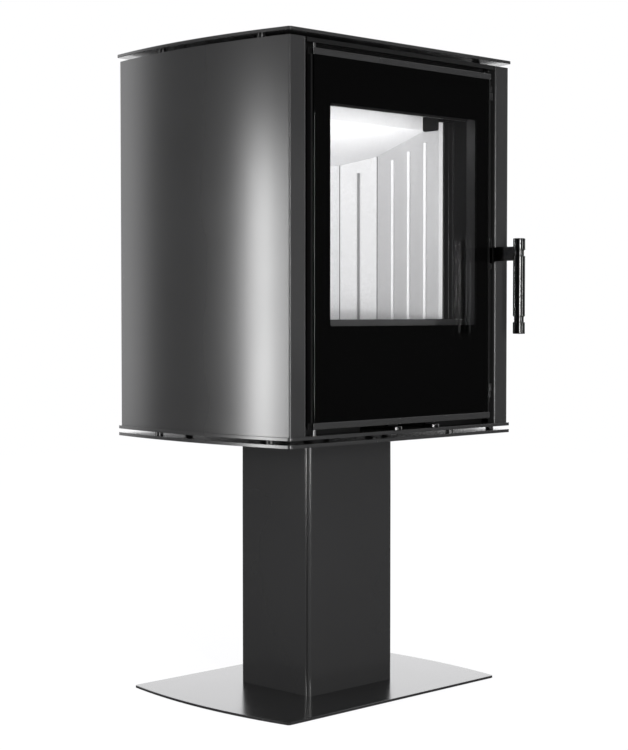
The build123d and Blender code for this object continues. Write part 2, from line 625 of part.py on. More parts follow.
for side_name, side in (("left", -1), ("right", 1)):
    strip_end = (side * (PANEL_WIDTH / 2 - STRIP_WIDTH), FRONT_Y)
    front_corner = (side * PANEL_WIDTH / 2, FRONT_Y)
    rear_corner = (side * PANEL_WIDTH / 2, REAR_Y)
    with BuildPart() as side_panel:
        with BuildSketch(Plane.XY.offset(BODY_Z)) as panel_profile:
            with BuildLine():
                Line((strip_end[0], FRONT_Y + STRIP_RETURN), strip_end)
                Line(strip_end, front_corner)
                bow = (side * (PANEL_WIDTH / 2 + SIDE_BULGE), (FRONT_Y + REAR_Y) / 2)
                ThreePointArc(front_corner, bow, rear_corner)
                Line(rear_corner, (side * (PANEL_WIDTH / 2 - REAR_FLANGE), REAR_Y))
                inward = Side.LEFT if side > 0 else Side.RIGHT
                offset(amount=PANEL_SHEET, side=inward, kind=Kind.INTERSECTION)
            make_face()
            for bend in (strip_end, front_corner, rear_corner):
                outer_vertex = panel_profile.vertices().sort_by_distance(bend)[0]
                fillet(outer_vertex, BEND)
        extrude(amount=BODY_HEIGHT)
    keep(side_panel, f"{side_name}_side_panel")

REAR_SHEET_Y = REAR_Y - 2 * PANEL_SHEET
SLOT = (60.0, 6.0)
SLOT_PITCH = (80.0, 15.0)
SLOT_DROP = 60.0  # of the upper slots below the top of the panels
SLOT_RISE = 170.0
UPPER_SLOTS_Z = BODY_TOP_Z - SLOT_DROP
LOWER_SLOTS_Z = BODY_Z + SLOT_RISE

with BuildPart() as rear_panel:
    with BuildSketch(Plane.XZ.offset(-REAR_SHEET_Y)):
        with Locations((0, BODY_Z + BODY_HEIGHT / 2)):
            Rectangle(PANEL_WIDTH - 2 * PANEL_SHEET - 2 * SEAT_GAP, BODY_HEIGHT)
        with Locations((0, AIR_Z)):
            Circle(AIR_RADIUS - AIR_WALL, mode=Mode.SUBTRACT)
        for level, rows in ((UPPER_SLOTS_Z, 4), (LOWER_SLOTS_Z, 2)):
            with Locations((0, level)):
                with GridLocations(*SLOT_PITCH, 5, rows):
                    SlotOverall(*SLOT, mode=Mode.SUBTRACT)
    extrude(amount=-PANEL_SHEET)
keep(rear_panel, "rear_panel")

PLENUM_MARGIN = 12.5  # around the air inlet
PLENUM_WIDTH = 2 * (AIR_RADIUS + PLENUM_MARGIN)
PLENUM_HEIGHT = AIR_RISE + AIR_RADIUS + PLENUM_MARGIN
with BuildPart() as air_plenum:
    with BuildSketch(Plane.XZ.offset(-REAR_SHEET_Y)) as plenum_outline:
        with Locations((0, BODY_Z + PLENUM_HEIGHT / 2)):
            Rectangle(PLENUM_WIDTH, PLENUM_HEIGHT)
    extrude(amount=REAR_SHEET_Y - FIREBOX_BACK_Y)
    mouth = air_plenum.faces().sort_by(Axis.Y)[0]
    offset(amount=-PANEL_SHEET, openings=mouth)
    with BuildSketch(Plane.XZ.offset(-REAR_SHEET_Y)):
        with Locations((0, AIR_Z)):
            Circle(AIR_RADIUS - AIR_WALL)
    extrude(amount=PANEL_SHEET, mode=Mode.SUBTRACT)
keep(air_plenum, "air_plenum")

AIR_FLANGE = AIR_RADIUS + AIR_FLANGE_WIDTH
with BuildPart() as air_spigot:
    with BuildSketch(Plane.XZ.offset(-REAR_SHEET_Y - PANEL_SHEET)):
        with Locations((0, AIR_Z)):
            Circle(AIR_FLANGE)
            Circle(AIR_RADIUS - AIR_WALL, mode=Mode.SUBTRACT)
    extrude(amount=-PANEL_SHEET)
    with BuildSketch(Plane.XZ.offset(-REAR_SHEET_Y - PANEL_SHEET)):
        with Locations((0, AIR_Z)):
            Circle(AIR_RADIUS)
            Circle(AIR_RADIUS - AIR_WALL, mode=Mode.SUBTRACT)
    extrude(amount=-PANEL_SHEET - AIR_REACH)
keep(air_spigot, "air_spigot")

# ============================ Fire bricks ============================

BAFFLE_PLANE = Plane(
    origin=(0, BAFFLE_FRONT_Y, BAFFLE_FRONT_Z),
    x_dir=(1, 0, 0),
    z_dir=(0, sin(radians(BAFFLE_SLOPE)), cos(radians(BAFFLE_SLOPE))),
)
GROOVES = 3


def groove_profile(at, facing):
    """V groove in plan: a triangle on a brick's face at a point, cut along its inward normal."""
    nx, ny = facing
    x, y = at
    half_mouth = GROOVE_WIDTH / 2
    with BuildSketch() as vee:
        with BuildLine():
            Polyline(
                (x - ny * half_mouth, y + nx * half_mouth),
                (x + ny * half_mouth, y - nx * half_mouth),
                (x - nx * GROOVE_DEPTH, y - ny * GROOVE_DEPTH),
                close=True,
            )
        make_face()
    return vee.sketch


with BuildPart() as side_linings:
    for side in (-1, 1):
        with BuildSketch(Plane.YZ.offset(side * LINING_FACE_X)):
            with BuildLine():
                Polyline(
                    (SIDE_LINING_FRONT_Y, DECK_Z),
                    (CORNER_START_Y, DECK_Z),
                    (CORNER_START_Y, baffle_height(CORNER_START_Y)),
                    (BAFFLE_FRONT_Y, BAFFLE_FRONT_Z),
                    (BAFFLE_FRONT_Y, BAFFLE_FRONT_Z + LINING_STEP),
                    (SIDE_LINING_FRONT_Y, BAFFLE_FRONT_Z + LINING_STEP),
                    close=True,
                )
            make_face()
        extrude(amount=side * LINING)
        for groove in range(GROOVES):
            y = CORNER_START_Y - GROOVE_FIRST - groove * GROOVE_PITCH
            with BuildSketch(Plane.XY.offset(DECK_Z)):
                add(groove_profile((side * LINING_FACE_X, y), (-side, 0)))
            extrude(amount=baffle_height(y) - GROOVE_MARGIN - DECK_Z, mode=Mode.SUBTRACT)
keep(side_linings, "side_linings")

with BuildPart() as corner_linings:
    for side in (-1, 1):
        setback = LINING * sqrt(2)
        diagonal = LINING_FACE_X + CORNER_START_Y + setback
        with BuildSketch(Plane.XY.offset(DECK_Z)):
            with BuildLine():
                Polyline(
                    (side * LINING_FACE_X, CORNER_START_Y),
                    (side * FIREBOX_INNER, CORNER_START_Y),
                    (side * FIREBOX_INNER, diagonal - FIREBOX_INNER),
                    (side * (diagonal - LINING_BACK_Y), LINING_BACK_Y),
                    (side * CORNER_END_X, LINING_BACK_Y),
                    (side * CORNER_END_X, CORNER_END_Y),
                    close=True,
                )
            make_face()
        extrude(amount=BAFFLE_FRONT_Z - DECK_Z)
        middle = (side * (LINING_FACE_X - CORNER_BRICK_REACH / 2), CORNER_START_Y + CORNER_BRICK_REACH / 2)
        slant = sqrt(0.5)
        with BuildSketch(Plane.XY.offset(DECK_Z)):
            add(groove_profile(middle, (-side * slant, -slant)))
        extrude(amount=baffle_height(middle[1]) - GROOVE_MARGIN - DECK_Z, mode=Mode.SUBTRACT)
    split(bisect_by=BAFFLE_PLANE, keep=Keep.BOTTOM)
keep(corner_linings, "corner_linings")

with BuildPart() as back_lining:
    with BuildSketch(Plane.XY.offset(DECK_Z)):
        with Locations((0, (CORNER_END_Y + LINING_BACK_Y) / 2)):
            Rectangle(2 * CORNER_END_X, LINING_BACK_Y - CORNER_END_Y)
    extrude(amount=BAFFLE_FRONT_Z - DECK_Z)
    for x in (-2, -1, 0, 1, 2):
        with BuildSketch(Plane.XY.offset(DECK_Z)):
            add(groove_profile((x * GROOVE_PITCH, CORNER_END_Y), (0, -1)))
        extrude(amount=baffle_height(CORNER_END_Y) - GROOVE_MARGIN - DECK_Z, mode=Mode.SUBTRACT)
    split(bisect_by=BAFFLE_PLANE, keep=Keep.BOTTOM)
keep(back_lining, "back_lining")

with BuildPart() as floor_lining:
    with BuildSketch(Plane.XY.offset(DECK_Z)):
        with BuildLine():
            Polyline(
                (-LINING_FACE_X, SIDE_LINING_FRONT_Y),
                (LINING_FACE_X, SIDE_LINING_FRONT_Y),
                (LINING_FACE_X, CORNER_START_Y),
                (CORNER_END_X, CORNER_END_Y),
                (-CORNER_END_X, CORNER_END_Y),
                (-LINING_FACE_X, CORNER_START_Y),
                close=True,
            )
        make_face()
        with Locations((0, GRATE_CENTRE_Y)):
            Rectangle(GRATE_WIDTH, GRATE_DEPTH, mode=Mode.SUBTRACT)
    extrude(amount=LINING)
keep(floor_lining, "floor_lining")

GRATE_BAR = 18.0
GRATE_SLOT = 8.0
GRATE_SLOTS = 8
with BuildPart() as grate:
    with BuildSketch(Plane.XY.offset(DECK_Z)):
        with Locations((0, GRATE_CENTRE_Y)):
            Rectangle(GRATE_WIDTH - 2 * SEAT_GAP, GRATE_DEPTH - 2 * SEAT_GAP)
            with GridLocations(2 * GRATE_SLOT, 0, GRATE_SLOTS, 1):
                slot_length = GRATE_DEPTH - 3 * GRATE_BAR
                SlotOverall(slot_length, GRATE_SLOT, 90, mode=Mode.SUBTRACT)
    extrude(amount=GRATE_BAR)
keep(grate, "grate")

with BuildPart() as baffle:
    thickness = BAFFLE / cos(radians(BAFFLE_SLOPE))
    rear_y = LINING_BACK_Y - SEAT_GAP
    with BuildSketch(Plane.YZ.offset(-FIREBOX_INNER + SEAT_GAP)):
        with BuildLine():
            Polyline(
                (BAFFLE_FRONT_Y, BAFFLE_FRONT_Z),
                (rear_y, baffle_height(rear_y)),
                (rear_y, baffle_height(rear_y) + thickness),
                (BAFFLE_FRONT_Y, BAFFLE_FRONT_Z + thickness),
                close=True,
            )
        make_face()
    extrude(amount=2 * (FIREBOX_INNER - SEAT_GAP))
keep(baffle, "baffle")

UPPER_BAFFLE_DROP = 34.0  # below the firebox ceiling
UPPER_BAFFLE_WAY = 54.0  # open to the flue gas between it and the back wall
UPPER_BAFFLE_REAR_Y = LINING_BACK_Y - UPPER_BAFFLE_WAY
LEDGE = (12.0, 6.0)
UPPER_BAFFLE_Z = CEILING_Z - UPPER_BAFFLE_DROP
with BuildPart() as upper_baffle:
    with BuildSketch(Plane.XY.offset(UPPER_BAFFLE_Z - BODY_SHEET)):
        upper_depth = UPPER_BAFFLE_REAR_Y - FRAME_BACK_Y - SEAT_GAP
        with Locations((0, UPPER_BAFFLE_REAR_Y - upper_depth / 2)):
            Rectangle(2 * (FIREBOX_INNER - SEAT_GAP), upper_depth)
    extrude(amount=BODY_SHEET)
keep(upper_baffle, "upper_baffle")

with BuildPart() as baffle_ledges:
    with BuildSketch(Plane.XY.offset(UPPER_BAFFLE_Z - BODY_SHEET - LEDGE[1])):
        for side in (-1, 1):
            ledge_x = side * (FIREBOX_INNER - LEDGE[0] / 2)
            with Locations((ledge_x, UPPER_BAFFLE_REAR_Y - upper_depth / 2)):
                Rectangle(LEDGE[0], upper_depth)
    extrude(amount=LEDGE[1])
keep(baffle_ledges, "baffle_ledges")

CLIP = 3.0
CLIP_DROP = 1.7
CLIP_RISE = 24.3
with BuildPart() as baffle_clips:
    for side in (-1, 1):
        with BuildSketch(Plane.YZ.offset(side * (LINING_FACE_X - CLIP))) as clip_face:
            clip_length = BAFFLE_FRONT_Y - SIDE_LINING_FRONT_Y - 2 * SEAT_GAP
            with Locations(
                (BAFFLE_FRONT_Y - SEAT_GAP - clip_length / 2, BAFFLE_FRONT_Z - CLIP_DROP + CLIP_RISE / 2)
            ):
                Rectangle(clip_length, CLIP_RISE)
            lower_corners = clip_face.vertices().group_by(Axis.Y)[0]
            fillet(lower_corners, CLIP + 1)
        extrude(amount=side * CLIP)
        with BuildSketch(Plane.XY.offset(BAFFLE_FRONT_Z + LINING_STEP)):
            tab_length = LINING + CLIP
            with Locations(
                (side * (FIREBOX_INNER - tab_length / 2), BAFFLE_FRONT_Y - SEAT_GAP - clip_length / 2)
            ):
                Rectangle(tab_length, clip_length)
        extrude(amount=CLIP)
keep(baffle_clips, "baffle_clips")

RETAINER_WIDTH = 15.3
with BuildPart() as lining_retainers:
    with BuildSketch(Plane.XY.offset(DECK_Z)):
        for side in (-1, 1):
            retainer_x = side * (FIREBOX_INNER - RETAINER_WIDTH / 2)
            with Locations((retainer_x, SIDE_LINING_FRONT_Y - CLIP / 2)):
                Rectangle(RETAINER_WIDTH, CLIP)
            with Locations((side * (FIREBOX_INNER - CLIP / 2), SIDE_LINING_FRONT_Y - 2 * CLIP)):
                Rectangle(CLIP, 4 * CLIP)
    extrude(amount=BAFFLE_FRONT_Z + LINING_STEP - DECK_Z)
keep(lining_retainers, "lining_retainers")

GUARD_SETBACK = 19.0  # behind the front frame
GUARD_Y = FRAME_BACK_Y + GUARD_SETBACK
GUARD_HEIGHT = 72.0
GUARD_FOOT = 24.0
with BuildPart() as log_guard:
    with BuildSketch(Plane.YZ.offset(-FIREBOX_INNER + 2 * CLIP)):
        with BuildLine():
            Polyline(
                (GUARD_Y - CLIP, DECK_Z),
                (GUARD_Y + GUARD_FOOT, DECK_Z),
                (GUARD_Y + GUARD_FOOT, DECK_Z + CLIP),
                (GUARD_Y, DECK_Z + CLIP),
                (GUARD_Y, DECK_Z + GUARD_HEIGHT),
                (GUARD_Y - CLIP, DECK_Z + GUARD_HEIGHT),
                close=True,
            )
        make_face()
    extrude(amount=2 * (FIREBOX_INNER - 2 * CLIP))
keep(log_guard, "log_guard")

ASH_PAN_SETBACK = 16.0  # behind the front frame
ASH_PAN_REAR_SPACE = 49.0
ASH_PAN_FRONT_Y = FRAME_BACK_Y + ASH_PAN_SETBACK
ASH_PAN = (250.0, LINING_BACK_Y - ASH_PAN_REAR_SPACE - ASH_PAN_FRONT_Y, 40.0)
ASH_SHEET = 1.5
with BuildPart() as ash_pan:
    with BuildSketch(Plane.XY.offset(ASH_FLOOR_Z)) as pan_outline:
        with Locations((0, ASH_PAN_FRONT_Y + ASH_PAN[1] / 2)):
            Rectangle(ASH_PAN[0], ASH_PAN[1])
        fillet(pan_outline.vertices(), BEND)
    extrude(amount=ASH_PAN[2])
    offset(amount=-ASH_SHEET, openings=ash_pan.faces().sort_by(Axis.Z)[-1])
    with BuildSketch(Plane.XY.offset(ASH_FLOOR_Z + ASH_PAN[2] / 2)) as pan_grip:
        with Locations((0, ASH_PAN_FRONT_Y - LEDGE[0] / 2)):
            Rectangle(6 * LEDGE[0], LEDGE[0])
        fillet(pan_grip.vertices().group_by(Axis.Y)[0], LEDGE[1])
    extrude(amount=ASH_SHEET)
keep(ash_pan, "ash_pan")

# ============================ Air controls ============================

RAIL_WEB = 2.0
RAIL_HOLD = 5.0
SLIDE_TOP_Z = ASH_FLOOR_Z - BODY_SHEET - SEAT_GAP
SLIDE_BOTTOM_Z = SLIDE_TOP_Z - SLIDE[2]
LEVER_Z = CONTROL_Z + (TAB_HEIGHT - LEVER_HEIGHT) / 2
TAB_FRONT_Y = -PLATE_DEPTH / 2 - 1.0
TAB_EDGE = 1.0

with BuildPart() as slide_guides:
    for slide_x in SLIDE_X:
        for edge in (-1, 1):
            web_y = SLIDE_Y + edge * (SLIDE[1] / 2 + SEAT_GAP)
            hold_z = SLIDE_BOTTOM_Z - SEAT_GAP
            with BuildSketch(Plane.YZ.offset(slide_x - CONTROL_TRAVEL - SLIDE[0] / 2)):
                with BuildLine():
                    Polyline(
                        (web_y, ASH_FLOOR_Z - BODY_SHEET),
                        (web_y + edge * RAIL_WEB, ASH_FLOOR_Z - BODY_SHEET),
                        (web_y + edge * RAIL_WEB, hold_z - RAIL_WEB),
                        (web_y - edge * RAIL_HOLD, hold_z - RAIL_WEB),
                        (web_y - edge * RAIL_HOLD, hold_z),
                        (web_y, hold_z),
                        close=True,
                    )
                make_face()
            extrude(amount=CONTROL_TRAVEL + SLIDE[0])
keep(slide_guides, "slide_guides")

for control_name, control_x, slide_x in zip(CONTROL_NAMES, CONTROL_X, SLIDE_X):
    with BuildPart() as air_slide:
        with BuildSketch(Plane.XY.offset(SLIDE_BOTTOM_Z)):
            with Locations((slide_x, SLIDE_Y)):
                Rectangle(SLIDE[0], SLIDE[1])
        extrude(amount=SLIDE[2])
        with BuildSketch(Plane.XY.offset(LEVER_Z)):
            with Locations((control_x, SLIDE_Y)):
                Rectangle(LEVER_HEIGHT, 2 * LEVER_WIDTH)
        extrude(amount=SLIDE_BOTTOM_Z - LEVER_Z)
        with BuildSketch(Plane.XY.offset(LEVER_Z)):
            lever_front = TAB_FRONT_Y + TAB_LENGTH
            lever_rear = SLIDE_Y + LEVER_WIDTH
            with Locations((control_x, (lever_front + lever_rear) / 2)):
                Rectangle(LEVER_WIDTH, lever_rear - lever_front)
        extrude(amount=LEVER_HEIGHT)
    keep(air_slide, f"{control_name}_slide")

    with BuildPart() as air_tab:
        with BuildSketch(Plane.XY.offset(CONTROL_Z)) as tab_outline:
            with Locations((control_x, TAB_FRONT_Y + TAB_LENGTH / 2)):
                Rectangle(TAB_WIDTH, TAB_LENGTH)
            fillet(tab_outline.vertices().group_by(Axis.Y)[0], TAB_WIDTH / 3)
        extrude(amount=TAB_HEIGHT)
        fillet(air_tab.edges().group_by(Axis.Z)[-1], TAB_EDGE)
    keep(air_tab, f"{control_name}_tab")

# ============================ Door ============================

WINDOW_BEND = 3.0


def rope_ring(inset, thickness):
    """Rounded rectangular ring that follows the door rope at a distance from its centre line."""
    outer = (ROPE_WIDTH - 2 * inset, ROPE_HEIGHT - 2 * inset, ROPE_BEND - inset)
    inner = [size - 2 * thickness for size in outer[:2]] + [ROPE_BEND - inset - thickness]
    with BuildSketch(Plane.XZ) as ring:
        with Locations((DOOR_CENTRE_X, ROPE_CENTRE_Z)):
            RectangleRounded(*outer)
            RectangleRounded(*inner, mode=Mode.SUBTRACT)
    return ring.sketch


with BuildPart() as door_frame:
    with BuildSketch(Plane.XZ.offset(-TRAY_BACK_Y)):
        with Locations((DOOR_TRAY_CENTRE_X, DOOR_CENTRE_Z)):
            Rectangle(DOOR_TRAY_WIDTH, DOOR_HEIGHT)
        with Locations((DOOR_CENTRE_X, WINDOW_CENTRE_Z)):
            RectangleRounded(WINDOW_WIDTH, WINDOW_HEIGHT, WINDOW_BEND, mode=Mode.SUBTRACT)
    extrude(amount=DOOR_SHEET)
    with BuildSketch(Plane.XZ.offset(-TRAY_BACK_Y)):
        with Locations((DOOR_CENTRE_X, WINDOW_CENTRE_Z)):
            border = 2 * DOOR_SHEET
            outer_bend = WINDOW_BEND + DOOR_SHEET
            RectangleRounded(WINDOW_WIDTH + border, WINDOW_HEIGHT + border, outer_bend)
            RectangleRounded(WINDOW_WIDTH, WINDOW_HEIGHT, WINDOW_BEND, mode=Mode.SUBTRACT)
    extrude(amount=-WINDOW_RETURN)
    with BuildSketch(Plane.XZ.offset(-TRAY_BACK_Y)):
        add(rope_ring(-ROPE / 2 - ROPE_WALL, ROPE_WALL))
        add(rope_ring(ROPE / 2, ROPE_WALL))
    extrude(amount=-ROPE_WALL_DEPTH)
    for side in (-1, 1):
        lip_x = DOOR_TRAY_CENTRE_X + side * (DOOR_TRAY_WIDTH - DOOR_SHEET) / 2
        with BuildSketch(Plane.XZ.offset(-TRAY_Y)):
            with Locations((lip_x, DOOR_CENTRE_Z)):
                Rectangle(DOOR_SHEET, DOOR_HEIGHT - 2 * RAIL_HEIGHT - 2 * SEAT_GAP)
        extrude(amount=TRAY_Y - FRONT_Y)
keep(door_frame, "door_frame")

GLASS_CENTRE_X = DOOR_CENTRE_X - GLASS_SHIFT
GLASS_EDGE = 1.6  # of the glass inside the door's upper and lower edges
TAPE_INSET = 2.0
TAPE_WIDTH = 10.0

with BuildPart() as door_glass:
    with BuildSketch(Plane.XZ.offset(-GLASS_Y - GLASS)):
        with Locations((GLASS_CENTRE_X, DOOR_CENTRE_Z)):
            Rectangle(GLASS_WIDTH, DOOR_HEIGHT - 2 * GLASS_EDGE)
    extrude(amount=GLASS)
keep(door_glass, "door_glass")

with BuildPart() as glass_tape:
    with BuildSketch(Plane.XZ.offset(-TRAY_Y)):
        with Locations((DOOR_CENTRE_X, WINDOW_CENTRE_Z)):
            for border, mode in ((TAPE_INSET + TAPE_WIDTH, Mode.ADD), (TAPE_INSET, Mode.SUBTRACT)):
                Rectangle(WINDOW_WIDTH + 2 * border, WINDOW_HEIGHT + 2 * border, mode=mode)
    extrude(amount=GLASS_TAPE)
keep(glass_tape, "glass_tape")

RAIL_SHEET = 1.5
with BuildPart() as glass_rails:
    for edge_z, inward in ((DOOR_Z, 1), (DOOR_TOP_Z, -1)):
        with BuildSketch(Plane.YZ.offset(DOOR_CENTRE_X - DOOR_WIDTH / 2)) as rail_profile:
            with BuildLine():
                Polyline(
                    (TRAY_Y, edge_z),
                    (FRONT_Y, edge_z),
                    (FRONT_Y, edge_z + inward * RAIL_HEIGHT),
                    (FRONT_Y + RAIL_LIP, edge_z + inward * RAIL_HEIGHT),
                    (FRONT_Y + RAIL_LIP, edge_z + inward * RAIL_SHEET),
                    (TRAY_Y, edge_z + inward * RAIL_SHEET),
                    close=True,
                )
            make_face()
            fillet(rail_profile.vertices().sort_by_distance((FRONT_Y, edge_z))[0], RAIL_SHEET)
        extrude(amount=DOOR_WIDTH)
keep(glass_rails, "glass_rails")

ROPE_ROUNDING = 6.0
with BuildPart() as door_rope:
    with BuildSketch(Plane.XZ.offset(-FRAME_FACE_Y + SEAT_GAP)):
        add(rope_ring(-ROPE / 2, ROPE))
    extrude(amount=ROPE)
    fillet(door_rope.faces().filter_by(Axis.Y).edges(), ROPE_ROUNDING)
keep(door_rope, "door_rope")

BAR_INSET = 19.0  # from each side of the window
BAR_HEIGHT = 11.5
BAR = 2.0
with BuildPart() as airwash_bar:
    bar_top = WINDOW_Z + WINDOW_HEIGHT
    bar_length = WINDOW_WIDTH - 2 * BAR_INSET
    with BuildSketch(Plane.XZ.offset(-TRAY_BACK_Y - BAR)) as bar_face:
        with Locations((DOOR_CENTRE_X, bar_top - BAR_HEIGHT / 2)):
            Rectangle(bar_length, BAR_HEIGHT)
        fillet(bar_face.vertices().group_by(Axis.Z)[0], WINDOW_BEND)
    extrude(amount=BAR)
    with BuildSketch(Plane.XY.offset(bar_top - BAR)):
        bar_foot = WINDOW_RETURN - BAR
        with Locations((DOOR_CENTRE_X, TRAY_BACK_Y + BAR + bar_foot / 2)):
            Rectangle(bar_length, bar_foot)
    extrude(amount=BAR)
keep(airwash_bar, "airwash_bar")

with BuildPart() as hinge_pins:
    pins = (
        (HINGE_PIN, UPPER_PLATE_Z + SEAT_GAP, DOOR_Z),
        (HINGE_SHOULDER, BODY_Z + SEAT_GAP, DOOR_Z),
        (HINGE_PIN, DOOR_TOP_Z, BODY_TOP_Z - SEAT_GAP),
    )
    for radius, lower, upper in pins:
        with BuildSketch(Plane.XY.offset(lower)):
            with Locations((HINGE_X, HINGE_Y)):
                Circle(radius)
        extrude(amount=upper - lower)
keep(hinge_pins, "hinge_pins")

# ============================ Lock and handle ============================

BEARING_HEIGHT = 8.0
TONGUE = (9.0, 3.5)
HUB_BOTTOM_Z = HUB_Z - HUB_HEIGHT / 2
CAM_CLEARANCE = CAM_HEIGHT / 2 + 2.0
BEARING_LEVELS = (
    CAM_LEVELS[0] - CAM_CLEARANCE - BEARING_HEIGHT,
    HUB_BOTTOM_Z - SEAT_GAP - BEARING_HEIGHT,
    CAM_LEVELS[1] + CAM_CLEARANCE,
)

with BuildPart() as lock_bearings:
    for level in BEARING_LEVELS:
        with BuildSketch(Plane.XY.offset(level)):
            with Locations((LOCK_X, LOCK_Y)):
                Circle(HUB_RADIUS)
            with Locations((LOCK_X - HUB_RADIUS / 2 - TONGUE[0] / 2, TRAY_BACK_Y + TONGUE[1] / 2)):
                Rectangle(*TONGUE)
            with Locations((LOCK_X, LOCK_Y)):
                Circle(LOCK_SHAFT + PIN_CLEARANCE, mode=Mode.SUBTRACT)
        extrude(amount=BEARING_HEIGHT)
keep(lock_bearings, "lock_bearings")

with BuildPart() as lock_shaft:
    with BuildSketch(Plane.XY.offset(DOOR_Z + LOCK_RISE)):
        with Locations((LOCK_X, LOCK_Y)):
            Circle(LOCK_SHAFT)
    extrude(amount=LOCK_LENGTH)
keep(lock_shaft, "lock_shaft")

CAM_RADIUS = 6.5
with BuildPart() as lock_cams:
    for level in CAM_LEVELS:
        with BuildSketch(Plane.XY.offset(level - CAM_HEIGHT / 2)):
            with Locations((LOCK_X, LOCK_Y)):
                Circle(CAM_RADIUS)
            with Locations((LOCK_X, LOCK_Y + CAM_LENGTH / 2)):
                Rectangle(CAM_WIDTH, CAM_LENGTH)
            with Locations((LOCK_X, LOCK_Y)):
                Circle(LOCK_SHAFT, mode=Mode.SUBTRACT)
        extrude(amount=CAM_HEIGHT)
keep(lock_cams, "lock_cams")

GRIP_EDGE = 1.2
with BuildPart() as handle_grip:
    with BuildSketch(Plane.XY.offset(GRIP_Z - GRIP_LENGTH / 2)):
        with Locations((LOCK_X, GRIP_Y)):
            Circle(GRIP_RADIUS)
    extrude(amount=GRIP_LENGTH)
    chamfer(handle_grip.edges().filter_by(GeomType.CIRCLE), GRIP_EDGE)
    groove_reach = GRIP_LENGTH / 2 - GRIP_GROOVE_INSET - GRIP_GROOVE / 2
    for level in (GRIP_Z - groove_reach, GRIP_Z + groove_reach):
        with BuildSketch(Plane.XY.offset(level - GRIP_GROOVE / 2)):
            with Locations((LOCK_X, GRIP_Y)):
                Circle(GRIP_RADIUS)
                Circle(GROOVE_RADIUS, mode=Mode.SUBTRACT)
        extrude(amount=GRIP_GROOVE, mode=Mode.SUBTRACT)
keep(handle_grip, "handle_grip")

GUSSET = (12.0, 16.0)
with BuildPart() as handle_arm:
    with BuildSketch(Plane.XY.offset(HUB_BOTTOM_Z)):
        with Locations((LOCK_X, LOCK_Y)):
            Circle(HUB_RADIUS)
    extrude(amount=HUB_HEIGHT)
    arm_bottom, arm_top = ARM_Z - ARM_HEIGHT / 2, ARM_Z + ARM_HEIGHT / 2
    gusset_y = LOCK_Y - HUB_RADIUS
    with BuildSketch(Plane.YZ.offset(LOCK_X - ARM_THICKNESS / 2)):
        with BuildLine():
            Polyline(
                (LOCK_Y, arm_top),
                (GRIP_Y, arm_top),
                (GRIP_Y, arm_bottom),
                (gusset_y - GUSSET[0], arm_bottom),
                (gusset_y, HUB_BOTTOM_Z),
                (LOCK_Y, HUB_BOTTOM_Z),
                close=True,
            )
        make_face()
    extrude(amount=ARM_THICKNESS)
    with BuildSketch(Plane.XY.offset(HUB_BOTTOM_Z)):
        with Locations((LOCK_X, LOCK_Y)):
            Circle(LOCK_SHAFT)
    extrude(amount=HUB_HEIGHT, mode=Mode.SUBTRACT)
    add(handle_grip.part, mode=Mode.SUBTRACT)
keep(handle_arm, "handle_arm")
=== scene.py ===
import math

import bmesh
import bpy
import numpy as np
from mathutils import Matrix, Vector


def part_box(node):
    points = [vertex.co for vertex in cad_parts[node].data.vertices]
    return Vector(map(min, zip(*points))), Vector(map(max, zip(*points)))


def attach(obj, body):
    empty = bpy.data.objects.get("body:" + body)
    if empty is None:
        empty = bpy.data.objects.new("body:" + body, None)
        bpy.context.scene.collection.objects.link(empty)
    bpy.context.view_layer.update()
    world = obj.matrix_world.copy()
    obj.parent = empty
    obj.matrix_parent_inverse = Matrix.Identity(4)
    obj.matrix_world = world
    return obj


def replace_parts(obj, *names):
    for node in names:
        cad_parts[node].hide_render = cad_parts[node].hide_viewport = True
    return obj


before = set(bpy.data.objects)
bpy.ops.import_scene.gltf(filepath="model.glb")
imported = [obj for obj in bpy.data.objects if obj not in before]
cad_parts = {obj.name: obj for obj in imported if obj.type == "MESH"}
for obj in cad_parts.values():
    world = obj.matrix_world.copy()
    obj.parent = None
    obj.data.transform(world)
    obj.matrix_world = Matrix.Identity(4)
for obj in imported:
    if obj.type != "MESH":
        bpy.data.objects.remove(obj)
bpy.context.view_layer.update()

# ---------------------------------------------------------------- Pedestal
# A square column of folded sheet stands on a laser-cut base plate with bowed sides. A separate
# front cover closes the column's shell. All of it is sprayed with satin graphite stove paint, and a
# black band of painted shade runs down the seam between shell and cover.


class Wire:
    """What leaves a node's socket. Sums, products, powers and comparisons of wires and numbers
    add Math nodes."""

    def __init__(self, finish, socket):
        self.finish, self.socket = finish, socket

    def _math(self, operation, *values):
        return self.finish.node("ShaderNodeMath", {"operation": operation}, dict(enumerate(values)))

    def __add__(self, other):
        return self._math("ADD", self, other)

    def __radd__(self, other):
        return self._math("ADD", other, self)

    def __sub__(self, other):
        return self._math("SUBTRACT", self, other)

    def __rsub__(self, other):
        return self._math("SUBTRACT", other, self)

    def __mul__(self, other):
        return self._math("MULTIPLY", self, other)

    def __rmul__(self, other):
        return self._math("MULTIPLY", other, self)

    def __pow__(self, other):
        return self._math("POWER", self, other)

    def __gt__(self, other):
        return self._math("GREATER_THAN", self, other)

    def __abs__(self):
        return self._math("ABSOLUTE", self)

    def clamped(self):
        """The value held between 0 and 1."""
        return self._math("MINIMUM", self._math("MAXIMUM", self, 0.0), 1.0)

    def ramp(self, start, end):
        """0 below start and 1 above end, with a smooth rise between them."""
        settings = {"interpolation_type": "SMOOTHSTEP"}
        return self.finish.node(
            "ShaderNodeMapRange", settings, {"Value": self, "From Min": start, "From Max": end}
        )


